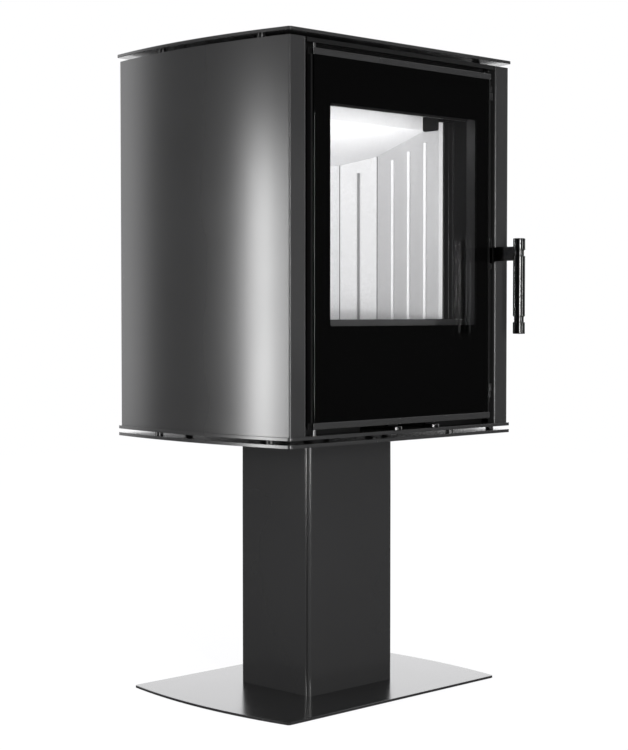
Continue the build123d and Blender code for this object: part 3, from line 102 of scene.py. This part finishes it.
class Finish:
    """A surface finish made of shader nodes."""

    def __init__(self, name):
        self.material = bpy.data.materials.new(name)
        self.material.use_nodes = True
        self.tree = self.material.node_tree
        self.tree.nodes.clear()

    def node(self, kind, settings=None, sockets=None, out=0):
        """Adds a node: its settings are set first, then its sockets get values or wires."""
        made = self.tree.nodes.new(kind)
        for key, value in (settings or {}).items():
            setattr(made, key, value)
        for key, value in (sockets or {}).items():
            if isinstance(value, Wire):
                self.tree.links.new(value.socket, made.inputs[key])
            else:
                made.inputs[key].default_value = value
        return Wire(self, made.outputs[out]) if len(made.outputs) else None

    def place(self):
        """Object coordinates, in metres, which are the stove's own."""
        return self.node("ShaderNodeTexCoord", out="Object")

    def parts(self, vector):
        """The x, y and z of a vector."""
        return [self.node("ShaderNodeSeparateXYZ", None, {0: vector}, axis) for axis in "XYZ"]

    def noise(self, place, scale, detail=2.0):
        """Soft noise from 0 to 1 with that many grains to the metre."""
        return self.node(
            "ShaderNodeTexNoise", None, {"Vector": place, "Scale": scale, "Detail": detail}
        )

    def blend(self, share, first, second):
        """A colour between two colours."""
        return self.node(
            "ShaderNodeMix", {"data_type": "RGBA"}, {"Factor": share, 6: first, 7: second}, 2
        )

    def bump(self, height, depth, strength):
        """A normal from a height map; depth is in metres."""
        sockets = {"Strength": strength, "Distance": depth, "Height": height}
        return self.node("ShaderNodeBump", None, sockets)

    def surface(self, **sockets):
        """The shader that the piece shows; keywords use _ for a space."""
        named = {key.replace("_", " "): value for key, value in sockets.items()}
        return self.node("ShaderNodeBsdfPrincipled", None, named)

    def done(self, shader):
        """Ends the finish with its shader and gives back the material."""
        self.node("ShaderNodeOutputMaterial", None, {"Surface": shader})
        return self.material


def grey(value):
    """A neutral colour, a hair to the cool side."""
    return (value, value, value * 1.01, 1.0)


def wear(finish, *nodes):
    """Gives a finish to CAD pieces that are shown as they are."""
    for name in nodes:
        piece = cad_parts[name]
        piece.data.materials.clear()
        piece.data.materials.append(finish)


FOLD = math.radians(40.0)
CREASE = math.radians(25.0)
FLAT = math.radians(0.1)
DOUBLES = 1e-6


def rounded(node, body, radius, finish, fold=FOLD):
    """A CAD piece with its sharp edges broken. The copy's doubles are merged and its flat faces
    joined first. Then every edge that turns by more than the angle fold gets that radius, and
    the shading stays flat on flat faces and breaks at a crease."""
    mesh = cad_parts[node].data.copy()
    cleaner = bmesh.new()
    cleaner.from_mesh(mesh)
    bmesh.ops.remove_doubles(cleaner, verts=cleaner.verts, dist=DOUBLES)
    bmesh.ops.dissolve_limit(
        cleaner, angle_limit=FLAT, verts=cleaner.verts, edges=cleaner.edges
    )
    for face in cleaner.faces:
        face.smooth = True
    for edge in cleaner.edges:
        edge.smooth = len(edge.link_faces) == 2 and edge.calc_face_angle(0.0) < CREASE
    cleaner.to_mesh(mesh)
    cleaner.free()
    mesh.materials.clear()
    mesh.materials.append(finish)
    piece = bpy.data.objects.new(f"{node}_finished", mesh)
    bpy.context.scene.collection.objects.link(piece)
    edges = piece.modifiers.new("broken edges", "BEVEL")
    edges.width = radius
    edges.segments = 2
    edges.limit_method = "ANGLE"
    edges.angle_limit = fold
    edges.use_clamp_overlap = True
    flat = piece.modifiers.new("flat faces", "WEIGHTED_NORMAL")
    flat.mode = "FACE_AREA"
    flat.weight = 100
    flat.keep_sharp = True
    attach(piece, body)
    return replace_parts(piece, node)


def graphite_paint(name, level, roughness, painted_shade=None):
    """Satin paint: a level of grey, a cloudy sheen and a fine orange peel. Where the function given
    for shade gives 1 for a place's x and y, the paint is dull black: painted shade that stands for
    the shade in a narrow gap."""
    paint = Finish(name)
    place = paint.place()
    cloud = paint.noise(place, 9.0)
    peel = paint.noise(place, 900.0)
    colour = paint.blend(cloud, grey(level * 0.94), grey(level * 1.06))
    sheen = cloud * 0.03 + peel * 0.02 + (roughness - 0.025)
    if painted_shade is not None:
        x, y, _ = paint.parts(place)
        gap = painted_shade(x, y)
        # Painted shade: where the mask is 1 the colour turns black, for the shade in a narrow gap.
        colour = paint.blend(gap, colour, grey(0.001))
        sheen = sheen + gap * 0.7
    return paint.done(
        paint.surface(
            Base_Color=colour, Roughness=sheen, Normal=paint.bump(peel, 0.000004, 0.35)
        )
    )


SEAM_HALF, SEAM_FADE = 0.0014, 0.00042
SEAM_AHEAD = 0.0021


def column_seam_shade(_, y):
    """1 within the seam's half width of its middle, which lies just ahead of the column's shell: in
    the gap that the cover leaves and on the cover's raw edge. The paint is black there as painted
    shade for the gap between shell and cover."""
    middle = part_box("column_shell")[0][1] - SEAM_AHEAD
    return 1 - abs(y - middle).ramp(SEAM_HALF, SEAM_HALF + SEAM_FADE)


GRAPHITE = 0.019
# The column's paint carries painted shade: a black band down the seam between shell and cover.
COLUMN_PAINT_AND_SEAM_SHADE = graphite_paint("column paint and seam shade", GRAPHITE, 0.15, column_seam_shade)
wear(COLUMN_PAINT_AND_SEAM_SHADE, "column_shell", "column_cover", "column_foot_flange", "column_head_flange")
BASE_EDGE = 0.0008
rounded("base_plate", "stove", BASE_EDGE, graphite_paint("base paint", 0.015, 0.2))

# ---------------------------------------------------------------- Bottom plates
# Two bowed plates carry the body. Black spacers hold them a finger's thickness apart, and zinc
# plated bolts go through them into the firebox.

CASING = graphite_paint("casing paint", GRAPHITE, 0.23)
PLATE_EDGE = 0.0007
rounded("lower_plate", "stove", PLATE_EDGE, CASING)
rounded("upper_plate", "stove", PLATE_EDGE, CASING)
BLACK = graphite_paint("black paint", 0.003, 0.3)
wear(BLACK, "plate_spacers", "top_spacers")


def metal(name, level, roughness, tint=(1.0, 1.0, 1.0)):
    """Bare metal with a fine grain: a level of grey times a tint."""
    steel = Finish(name)
    grain = steel.noise(steel.place(), 300.0, 3.0)
    low, high = (tuple(level * share * part for part in tint) + (1.0,) for share in (0.9, 1.1))
    return steel.done(
        steel.surface(
            Base_Color=steel.blend(grain, low, high),
            Roughness=grain * 0.08 + (roughness - 0.04),
            Metallic=1.0,
            Normal=steel.bump(grain, 0.00001, 0.3),
        )
    )


ZINC = metal("zinc plate", 0.45, 0.35)
wear(ZINC, "body_bolts", "foot_studs", "flue_nuts", "door_keepers")

# ---------------------------------------------------------------- Firebox
# The welded box inside the casing is steel plate with a thin matt black coat that soaks up light.
# The front frame is part of it and takes the door's seal. The log guard stands loose before the
# bricks, and two retainers hold the side bricks at the front.


def sooty_plate(name, level):
    """Matt black coat over hot-rolled plate, with slow clouds and fine grit."""
    plate = Finish(name)
    place = plate.place()
    cloud = plate.noise(place, 22.0, 4.0)
    grit = plate.noise(place, 700.0)
    return plate.done(
        plate.surface(
            Base_Color=plate.blend(cloud, grey(level * 0.7), grey(level * 1.3)),
            Roughness=cloud * 0.15 + 0.6,
            Specular_IOR_Level=0.15,
            Normal=plate.bump(grit, 0.00002, 0.4),
        )
    )


PLATE = sooty_plate("firebox plate", 0.009)
wear(PLATE, "firebox_left_wall", "firebox_right_wall", "firebox_back_wall", "firebox_ceiling")
wear(PLATE, "firebox_floor", "brick_deck", "baffle_clips", "upper_baffle", "baffle_ledges")
wear(PLATE, "air_plenum", "air_spigot", "flue_collar", "panel_brackets", "slide_guides")
wear(BLACK, "front_frame")
RETAINER_EDGE, GUARD_EDGE = 0.0006, 0.0005
rounded("lining_retainers", "stove", RETAINER_EDGE, BLACK)
rounded("log_guard", "stove", GUARD_EDGE, sooty_plate("guard steel", 0.02))

# ---------------------------------------------------------------- Fire bricks
# Pressed vermiculite boards line the fire chamber. They are off-white with fine flakes, and the
# mould breaks their edges. They stand loose on the deck, each held by the next, and the baffle
# lies on the side boards' slanted tops. Soot settles in the upright joints.

JOINT = 0.0012
JOINT_SOOT = 0.12
GROOVE_SHADE, GROOVE_START, GROOVE_END = 0.45, 0.0008, 0.0022
EDGE_LIGHT_GAIN, EDGE_LIGHT_START, EDGE_LIGHT_END = 1.4, 0.0002, 0.0008
PALEST = 0.9


def vermiculite(name, level):
    """Off-white board with pale and dark flakes a millimetre or two across. Its grooves and ends,
    which lie further out than the floor reaches, are painted paler as painted highlight where the
    light catches them. The groove in the slanted corner board, which lies behind the line between
    the joints, is painted darker as painted shade. Soot darkens what is less than a joint's width
    from where two boards meet."""
    board = Finish(name)
    place = board.place()
    flake = board.node(
        "ShaderNodeTexVoronoi", {"feature": "F1"}, {"Vector": place, "Scale": 420.0}, "Color"
    )
    fleck = board.parts(flake)[0]
    cloud = board.noise(place, 14.0, 3.0)
    tone = board.blend(fleck, grey(level * 0.94), grey(level * 1.06))
    tone = board.blend(cloud * 0.2, tone, grey(level * 0.86))
    x, y, _ = board.parts(place)
    back_low, back_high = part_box("back_lining")
    back_joint = (back_high[0], back_low[1])
    side_joint = (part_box("floor_lining")[1][0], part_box("side_linings")[1][1])
    outward = abs(x) - side_joint[0]
    # Painted highlight: the boards are made paler beyond the floor board's side, on the grooves and
    # front ends.
    painted_edge_light = outward.ramp(EDGE_LIGHT_START, EDGE_LIGHT_END)
    tone = board.blend(painted_edge_light, tone, grey(min(level * EDGE_LIGHT_GAIN, PALEST)))
    turn = math.atan2(back_joint[1] - side_joint[1], side_joint[0] - back_joint[0])
    behind = outward * math.sin(turn) + (y - side_joint[1]) * math.cos(turn)
    # Painted shade: the groove in the slanted corner board is painted darker.
    groove = behind.ramp(GROOVE_START, GROOVE_END)
    tone = board.blend(groove, tone, grey(level * GROOVE_SHADE))
    for joint in (back_joint, side_joint):
        gap = ((abs(x) - joint[0]) ** 2 + (y - joint[1]) ** 2) ** 0.5
        tone = board.blend(1 - gap.ramp(JOINT * 0.5, JOINT), tone, grey(JOINT_SOOT))
    return board.done(
        board.surface(
            Base_Color=tone, Roughness=0.92, Normal=board.bump(fleck + cloud, 0.00012, 0.5)
        )
    )


BRICK_EDGE, BRICK_FOLD = 0.0003, math.radians(60.0)
# Lit and shaded copies of one vermiculite: compared with the back boards, the side and floor boards
# are painted darker as painted shade, and the baffle is painted paler as painted light.
SIDE_BOARD_SHADED = vermiculite("side board", 0.6)
for brick in ("side_linings", "floor_lining"):
    rounded(brick, "stove", BRICK_EDGE, SIDE_BOARD_SHADED, BRICK_FOLD)
BACK_BOARD = vermiculite("back board", 0.72)
for brick in ("corner_linings", "back_lining"):
    rounded(brick, "stove", BRICK_EDGE, BACK_BOARD, BRICK_FOLD)
BAFFLE_EDGE = 0.0012
rounded("baffle", "stove", BAFFLE_EDGE, vermiculite("baffle board painted paler", 0.84))

# ---------------------------------------------------------------- Grate and ash pan
# The grate is rough cast iron, laid in the opening of the floor bricks. The ash pan below it is
# folded from galvanised sheet and slides out over the firebox floor.


def cast_iron():
    """Sand-cast iron: dark, with a pitted skin."""
    iron = Finish("cast iron")
    sand = iron.noise(iron.place(), 500.0, 4.0)
    return iron.done(
        iron.surface(
            Base_Color=iron.blend(sand, grey(0.03), grey(0.07)),
            Roughness=0.7,
            Metallic=0.6,
            Normal=iron.bump(sand, 0.0002, 0.6),
        )
    )


GRATE_EDGE = 0.001
rounded("grate", "stove", GRATE_EDGE, cast_iron())
wear(metal("galvanised sheet", 0.5, 0.4), "ash_pan")

# ---------------------------------------------------------------- Casing
# The steel side panels are rolled to a bow and folded round the front and the back. Pan head
# screws hold the rear panel through their flanges, and folded angles close the corners behind
# their front strips. The top plate lies on spacers over the lot.

STRIP_BEND, RETURN_SKIN = 0.003, 0.0003


def strip_return_shade(x, y):
    """1 on the faces that the front strips turn to the door, behind their bends: within a skin of
    the panels' inner sides and a bend's radius or more behind their front. The paint is black there
    as painted shade for the narrow gap beside the door."""
    low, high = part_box("right_side_panel")
    inner = 1 - (abs(x) - low[0]).ramp(RETURN_SKIN, 2 * RETURN_SKIN)
    return inner * (y - low[1]).ramp(STRIP_BEND * 0.8, STRIP_BEND)


# Painted shade: the returns of the front strips, in the gap beside the door, are painted black.
PANEL_PAINT_AND_RETURN_SHADE = graphite_paint("panel paint and return shade", GRAPHITE, 0.23, strip_return_shade)
wear(PANEL_PAINT_AND_RETURN_SHADE, "left_side_panel", "right_side_panel")
wear(CASING, "rear_panel")
rounded("top_plate", "stove", PLATE_EDGE, CASING)


def skin(name, grids, body, finish, joined=False):
    """A mesh over one or more grids of points, shaped (pieces, rows, columns, 3). Each quad joins
    neighbours in a grid, and its columns close round. Rows close too where joined is set."""
    pieces, rows, columns = grids.shape[:3]
    number = np.arange(pieces * rows * columns).reshape(pieces, rows, columns)
    ahead = np.roll(number, -1, 1)
    last = rows if joined else rows - 1
    quads = np.stack(
        (number, np.roll(number, -1, 2), np.roll(ahead, -1, 2), ahead), axis=-1
    )[:, :last].reshape(-1, 4)
    mesh = bpy.data.meshes.new(name)
    mesh.from_pydata(grids.reshape(-1, 3).tolist(), [], quads.tolist())
    mesh.shade_smooth()
    mesh.materials.append(finish)
    piece = bpy.data.objects.new(name, mesh)
    bpy.context.scene.collection.objects.link(piece)
    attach(piece, body)
    return piece


HEAD_RADIUS, HEAD_HEIGHT = 0.004, 0.0022
DRIVE_POINT, DRIVE_EDGE, CROWN_START = (0.0, 0.25), (0.3, 0.85), 0.32
HEAD_SIDES, DOME_LEVELS = 20, 8
FLANGE_INSET, SCREW_END = 0.010, 0.03
SCREWS_UP = 6


def panel_screws():
    """Pan heads in two columns. A head is a quarter ellipse turned about the screw's axis, with a
    cone-shaped drive in its middle: the profile's points are shares of the head's radius and
    height, from the point of the drive to the rim. A last row on the axis closes the underside."""
    low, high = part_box("left_side_panel")
    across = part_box("rear_panel")[1][0] - FLANGE_INSET
    crown = CROWN_START + (1 - CROWN_START) * np.linspace(0.0, 1.0, DOME_LEVELS + 1)[1:]
    dome = np.column_stack((crown, np.sqrt(1 - crown**2)))
    profile = np.vstack((DRIVE_POINT, DRIVE_EDGE, dome, (0.0, 0.0)))
    radius, rise = profile[:, 0] * HEAD_RADIUS, profile[:, 1] * HEAD_HEIGHT
    turn = np.linspace(0.0, 2 * np.pi, HEAD_SIDES, endpoint=False)
    levels = np.linspace(low[2] + SCREW_END, high[2] - SCREW_END, SCREWS_UP)
    heads = np.zeros((2, SCREWS_UP, radius.size, turn.size, 3))
    heads[..., 0] = radius[:, None] * np.cos(turn)
    heads[..., 1] = high[1] + rise[:, None]
    heads[..., 2] = radius[:, None] * np.sin(turn)
    heads[..., 0] += np.array((-across, across))[:, None, None, None]
    heads[..., 2] += levels[:, None, None]
    return heads.reshape(-1, radius.size, turn.size, 3)


skin("panel_screws", panel_screws(), "stove", BLACK)

CLOSER_SHEET, CLOSER_HEEL, HEEL_POINTS = 0.002, 0.004, 6
CLOSER_WIDTH, CLOSER_DEPTH, CLOSER_HEIGHT = 0.026, 0.022, 0.0156
CLOSER_SETBACK, CLOSER_PLAY = 0.0212, 0.0004


def corner_closers():
    """Folded angles behind the upper ends of the front strips. In plan each is a thin closed loop,
    an L with a rounded heel, carried straight up. A row along the middle of the sheet closes
    each end. The left one is mirrored, and its loop runs the other way round."""
    frame_low, frame_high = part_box("front_frame")
    turn = np.linspace(np.pi, 1.5 * np.pi, HEEL_POINTS)
    heel = np.column_stack((np.cos(turn), np.sin(turn)))
    outer = np.vstack(((0.0, CLOSER_DEPTH), CLOSER_HEEL * (1 + heel), (CLOSER_WIDTH, 0.0)))
    inside = CLOSER_HEEL + (CLOSER_HEEL - CLOSER_SHEET) * heel
    inner = np.vstack(((CLOSER_SHEET, CLOSER_DEPTH), inside, (CLOSER_WIDTH, CLOSER_SHEET)))
    loop = np.vstack((outer, inner[::-1]))
    middle = (loop + loop[::-1]) / 2
    plans = np.stack((middle, loop, loop, middle))
    top = frame_high[2] - CLOSER_PLAY
    bottom = top - CLOSER_HEIGHT
    grid = np.zeros((2, *plans.shape[:2], 3))
    grid[..., 0] = frame_high[0] + CLOSER_PLAY + plans[..., 0]
    grid[..., 1] = frame_low[1] + CLOSER_SETBACK + plans[..., 1]
    grid[..., 2] = np.array((bottom, bottom, top, top))[:, None]
    grid[0, ..., 0] *= -1
    grid[0] = grid[0, :, ::-1].copy()
    return grid


skin("corner_closers", corner_closers(), "stove", BLACK)

# ---------------------------------------------------------------- Air controls
# Two laser-cut steel slides run in guides under the firebox floor and cover its air openings.
# A lever joins each to a blackened tab, which stands out under the door to be pushed by hand.

wear(metal("slide steel", 0.1, 0.4), "primary_air_slide", "secondary_air_slide")
wear(metal("tab steel", 0.1, 0.22), "primary_air_tab", "secondary_air_tab")

# ---------------------------------------------------------------- Door
# The door is a folded steel sheet. A full pane of glass ceramic covers it, held by two rails, with
# an opaque black print fired on round a clear window. It hangs on bright pins in brass bushes, and
# a braided glass-fibre rope in its channel seals it against the front frame.

wear(BLACK, "door_frame", "airwash_bar", "glass_tape")
RAIL_EDGE = 0.0004
rounded("glass_rails", "door", RAIL_EDGE, CASING)
wear(metal("brass", 0.7, 0.3, tint=(1.0, 0.8, 0.45)), "hinge_bushes")
wear(metal("bright pin", 0.12, 0.3), "hinge_pins")

GLASS_EDGE = 0.0005
WINDOW_LOW, WINDOW_HIGH = (-0.163, 0.5825), (0.1698, 0.910)
WINDOW_CORNER = 0.003
PRINT_BLACK, COAT_WHITE, COAT_SHARE = 0.0005, 0.95, 0.12


def printed_glass():
    """Glass ceramic: a clear window in a black print, with a faint mirror coat on the clear part.
    A place is in the print where it is further than the corner's radius from the rectangle
    between the centres of the window's four corners."""
    glass = Finish("printed glass")
    x, _, z = glass.parts(glass.place())
    beyond = [
        (abs(where - (low + high) / 2) - ((high - low) / 2 - WINDOW_CORNER)).clamped()
        for where, low, high in zip((x, z), WINDOW_LOW, WINDOW_HIGH)
    ]
    outside = (beyond[0] * beyond[0] + beyond[1] * beyond[1]) ** 0.5 > WINDOW_CORNER
    return glass.done(
        glass.surface(
            Base_Color=glass.blend(outside, grey(COAT_WHITE), grey(PRINT_BLACK)),
            Metallic=1 - outside,
            Roughness=0.03,
            Alpha=outside * (1 - COAT_SHARE) + COAT_SHARE,
        )
    )


rounded("door_glass", "door", GLASS_EDGE, printed_glass())


def glass_fibre():
    """Black glass-fibre yarn, rough and dull."""
    yarn = Finish("rope")
    fibre = yarn.noise(yarn.place(), 900.0)
    return yarn.done(
        yarn.surface(
            Base_Color=yarn.blend(fibre, grey(0.03), grey(0.08)),
            Roughness=0.95,
            Normal=yarn.bump(fibre, 0.0004, 0.5),
        )
    )


GLASS_FIBRE = glass_fibre()
wear(GLASS_FIBRE, "flue_gasket")

ROPE_BEND, ROPE_STEP, ROPE_SIDES = 0.018, 0.0014, 40
PLAITS_ROUND, PLAIT = 8, 0.011
ROPE_FILL, STRAND_RISE, ROPE_LIMIT = 0.97, 0.16, 1.12


def braided_rope():
    """The door seal: a section carried round a rounded rectangle. The section is a superellipse
    that fills its channel. Two families of strands cross on it, one leaning each way. A strand's
    height is the sine of its phase, which is the place along the rope plus or minus the turn
    about its axis, and each point's radius grows with the higher strand there."""
    low, high = (np.array(corner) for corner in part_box("door_rope"))
    half = (high[1] - low[1]) / 2
    reach = (high - low)[[0, 2]] / 2 - half
    middle = (high + low) / 2
    straight = reach - ROPE_BEND
    quarter = ROPE_BEND * np.pi / 2
    lengths = np.array([2 * straight[0], quarter, 2 * straight[1], quarter] * 2)
    total = lengths.sum()
    steps = int(total / ROPE_STEP)
    along = np.linspace(0.0, total, steps, endpoint=False)
    starts = np.concatenate(([0.0], np.cumsum(lengths)[:-1]))
    run = np.searchsorted(starts, along, "right") - 1
    inside = along - starts[run]
    arc = run % 2 == 1
    heading = (run // 2) * np.pi / 2 + np.where(arc, inside / ROPE_BEND, 0.0)
    corners = np.array([(1, -1), (1, 1), (-1, 1), (-1, -1)]) * straight
    begins = np.array([(-1, -1), (1, -1), (1, 1), (-1, 1)]) * straight
    out = np.column_stack((np.sin(heading), -np.cos(heading)))
    ahead = np.column_stack((np.cos(heading), np.sin(heading)))
    pivot = np.where(arc[:, None], corners[run // 2], begins[run // 2])
    centre = pivot + out * ROPE_BEND + ahead * np.where(arc, 0.0, inside)[:, None]
    turn = np.linspace(0.0, 2 * np.pi, ROPE_SIDES, endpoint=False)
    plaits = round(total / PLAIT)
    phase = np.pi * plaits * along[:, None] / total
    lean = PLAITS_ROUND * turn[None, :] / 2
    strand = np.maximum(abs(np.sin(lean + phase)), abs(np.sin(lean - phase)))
    squareness = (np.cos(turn) ** 4 + np.sin(turn) ** 4) ** -0.25
    rise = 1 - STRAND_RISE * (1 - strand)
    radius = half * np.minimum(ROPE_FILL * squareness[None, :] * rise, ROPE_LIMIT)
    grid = np.zeros((1, steps, turn.size, 3))
    sideways = radius * np.cos(turn)
    grid[0, ..., 0] = middle[0] + centre[:, :1] + out[:, :1] * sideways
    grid[0, ..., 1] = middle[1] + radius * np.sin(turn)
    grid[0, ..., 2] = middle[2] + centre[:, 1:] + out[:, 1:] * sideways
    return grid


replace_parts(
    skin("door_rope_braided", braided_rope(), "door", GLASS_FIBRE, joined=True),
    "door_rope",
)

# ---------------------------------------------------------------- Lock and handle
# A steel shaft turns two cams behind the door's right edge. The handle's arm is welded to a hub on
# the shaft. Its grip is a turned rod with a neck near each end, and both are in black chrome.

wear(BLACK, "lock_shaft", "lock_cams", "lock_bearings")
CHROME = metal("black chrome", 0.05, 0.16)
ARM_EDGE = 0.0006
rounded("handle_arm", "handle", ARM_EDGE, CHROME)

GRIP_END, GRIP_SIDES = 0.0014, 64
NECK, NECK_INSET, NECK_DEPTH, SHOULDER = 0.0094, 0.0186, 0.0019, 0.0013
TURN_LEVELS = 11


def turned_grip():
    """The grip: a radius for each height, turned about an upright axis. The ends are rounded with
    quarter circles, and each neck is let in between two smooth shoulders. The levels crowd on
    the shoulders and the ends, and a little past them, so that the rod's shading stays even."""
    low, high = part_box("handle_grip")
    length = high[2] - low[2]
    necks = (NECK_INSET, length - NECK_INSET - NECK)
    rim = GRIP_END * np.linspace(0.0, 1.25, TURN_LEVELS)
    slope = SHOULDER * np.linspace(-1.125, 1.125, TURN_LEVELS)
    shoulders = [edge + slope for neck in necks for edge in (neck, neck + NECK)]
    levels = np.unique(np.round(np.concatenate((rim, *shoulders, length - rim)), 7))
    radius = np.full(levels.size, (high[0] - low[0]) / 2)
    for neck in necks:
        inward = abs(levels - neck - NECK / 2)
        share = np.clip((NECK / 2 + SHOULDER / 2 - inward) / SHOULDER, 0.0, 1.0)
        radius -= NECK_DEPTH * share * share * (3 - 2 * share)
    edge = np.clip(GRIP_END - np.minimum(levels, length - levels), 0.0, GRIP_END)
    radius -= GRIP_END - np.sqrt(GRIP_END**2 - edge**2)
    heights = np.concatenate(([0.0], levels, [length]))
    radius = np.concatenate(([0.0], radius, [0.0]))
    turn = np.linspace(0.0, 2 * np.pi, GRIP_SIDES, endpoint=False)
    grid = np.zeros((1, heights.size, turn.size, 3))
    grid[0, ..., 0] = (low[0] + high[0]) / 2 + radius[:, None] * np.cos(turn)
    grid[0, ..., 1] = (low[1] + high[1]) / 2 + radius[:, None] * np.sin(turn)
    grid[0, ..., 2] = low[2] + heights[:, None]
    return grid


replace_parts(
    skin("handle_grip_turned", turned_grip(), "handle", CHROME), "handle_grip"
)

# ---------------------------------------------------------------- Studio
# A white room with a white floor. Tall narrow lamps at the left and in front draw streaks on the
# satin paint. Lamps that nothing mirrors light the front and the fire chamber, and the rest of
# what the black glass mirrors is kept dark.


def facing(place, aim):
    """The matrix that puts a lamp at place with its back to the sky and its face to aim."""
    ahead = np.array(aim, float) - np.array(place, float)
    ahead /= np.linalg.norm(ahead)
    side = np.cross(ahead, (0.0, 0.0, 1.0))
    side /= np.linalg.norm(side)
    up = np.cross(side, ahead)
    turn = np.eye(4)
    turn[:3] = np.column_stack((side, up, -ahead, place))
    return Matrix(turn.tolist())


def lamp(name, kind, place, aim, watts):
    """A lamp at place that faces aim. The camera doesn't see it."""
    made = bpy.data.objects.new(name, bpy.data.lights.new(name, kind))
    made.data.energy = watts
    bpy.context.scene.collection.objects.link(made)
    made.matrix_world = facing(place, aim)
    made.visible_camera = False
    return made


def panel_lamp(name, place, aim, size, watts):
    """A rectangular lamp, of a width and a height."""
    made = lamp(name, "AREA", place, aim, watts)
    made.data.shape = "RECTANGLE"
    made.data.size, made.data.size_y = size
    return made


def around(centre, degrees, distance, height):
    """A place at a compass angle about a point on the floor, counted from +X towards +Y."""
    angle = math.radians(degrees)
    return (centre[0] + distance * math.cos(angle), centre[1] + distance * math.sin(angle), height)


LEFT_SIDE, LEFT_AIM = (-0.25, 0.0), (-0.25, -0.1, 0.65)
left_place = around(LEFT_SIDE, degrees=152.4, distance=2.6, height=0.5)
panel_lamp("left lamp", left_place, LEFT_AIM, size=(0.32, 1.2), watts=34.0)

DOOR_SIDE, DOOR_AIM = (0.0, -0.2), (0.0, -0.2, 0.6)
front_place = around(DOOR_SIDE, degrees=239.0, distance=2.6, height=0.6)
panel_lamp("front lamp", front_place, DOOR_AIM, size=(0.14, 1.1), watts=52.0)
right_place = around(DOOR_SIDE, degrees=284.0, distance=3.0, height=0.5)
panel_lamp("right lamp", right_place, DOOR_AIM, size=(0.16, 1.0), watts=16.0)
fill_place = around(DOOR_SIDE, degrees=241.0, distance=2.6, height=0.6)
fill = panel_lamp("fill lamp", fill_place, DOOR_AIM, size=(0.5, 1.1), watts=12.0)

CHAMBER, BAFFLE_AIM = (0.0, -0.16, 0.57), (0.0, -0.13, 0.80)
glow = panel_lamp("chamber lamp", CHAMBER, BAFFLE_AIM, size=(0.24, 0.06), watts=0.42)
glow.data.spread = math.radians(64.0)

BEAM_PLACE, BEAM_AIM = (-1.05, -1.45, 0.52), (0.04, -0.04, 0.72)
beam = lamp("window beam", "SPOT", BEAM_PLACE, BEAM_AIM, watts=64.0)
beam.data.spot_size = math.radians(17.0)
beam.data.spot_blend = 0.3
beam.data.shadow_soft_size = 0.05
for soft in (fill, glow, beam):
    soft.visible_glossy = False

world = bpy.data.worlds.new("studio")
bpy.context.scene.world = world
world.use_nodes = True


class Sky(Finish):
    """The world's own nodes, made the same way as a finish."""

    def __init__(self):
        self.tree = world.node_tree
        self.tree.nodes.clear()


DIAGONAL = 0.707
BACKDROP_START, BACKDROP_END = 0.28, 0.38
ROOM_LIGHT, MIRRORED_ROOM, MIRRORED_BACKDROP = 0.9, 0.035, 2.1
sky = Sky()
direction = sky.parts(sky.node("ShaderNodeTexCoord", out="Generated"))
away = direction[0] * DIAGONAL + direction[1] * DIAGONAL
behind = away.ramp(BACKDROP_START, BACKDROP_END)
mirrored = behind * MIRRORED_BACKDROP + MIRRORED_ROOM
seen = sky.node("ShaderNodeLightPath", out="Is Camera Ray")
glossy = sky.node("ShaderNodeLightPath", out="Is Glossy Ray")
through = sky.node("ShaderNodeLightPath", out="Is Transmission Ray")
strength = ROOM_LIGHT * (1 - glossy) + mirrored * glossy
white = (seen + through).clamped()
strength = strength * (1 - white) + white
backdrop = sky.node("ShaderNodeBackground", None, {"Color": grey(1.0), "Strength": strength})
sky.node("ShaderNodeOutputWorld", None, {"Surface": backdrop})

FLOOR_HALF, FLOOR_DROP = 4.0, 0.0005
FLOOR_SEEN, FLOOR_MIRRORED = 0.95, 0.08
round_the_floor = ((-1, -1), (1, -1), (1, 1), (-1, 1))
floor_corners = [(x * FLOOR_HALF, y * FLOOR_HALF, -FLOOR_DROP) for x, y in round_the_floor]
floor_mesh = bpy.data.meshes.new("floor")
floor_mesh.from_pydata(floor_corners, [], [(0, 1, 2, 3)])
floor = bpy.data.objects.new("floor", floor_mesh)
bpy.context.scene.collection.objects.link(floor)
ground = Finish("white floor")
lit = ground.node("ShaderNodeBsdfDiffuse", None, {"Color": grey(0.85)})
eye = ground.node("ShaderNodeLightPath", out="Is Camera Ray")
glint = ground.node("ShaderNodeLightPath", out="Is Glossy Ray")
share = (eye * 0.9 + glint).clamped()
brightness = eye * FLOOR_SEEN + FLOOR_MIRRORED
shown = ground.node("ShaderNodeEmission", None, {"Color": grey(1.0), "Strength": brightness})
mixed = ground.node("ShaderNodeMixShader", None, {0: share, 1: lit, 2: shown})
floor_mesh.materials.append(ground.done(mixed))

SENSOR, FOCAL = 36.0, 82.2984
EYE = (-1.95146, -1.97005, 0.60606)
YAW, PITCH = math.radians(44.646), math.radians(2.163)
camera_data = bpy.data.cameras.new("camera")
camera_data.sensor_width = SENSOR
camera_data.lens = FOCAL
camera = bpy.data.objects.new("camera", camera_data)
bpy.context.scene.collection.objects.link(camera)
camera.location = EYE
camera.rotation_euler = (math.pi / 2 - PITCH, 0.0, -YAW)
bpy.context.scene.camera = camera
bpy.context.scene.view_settings.view_transform = "Standard"
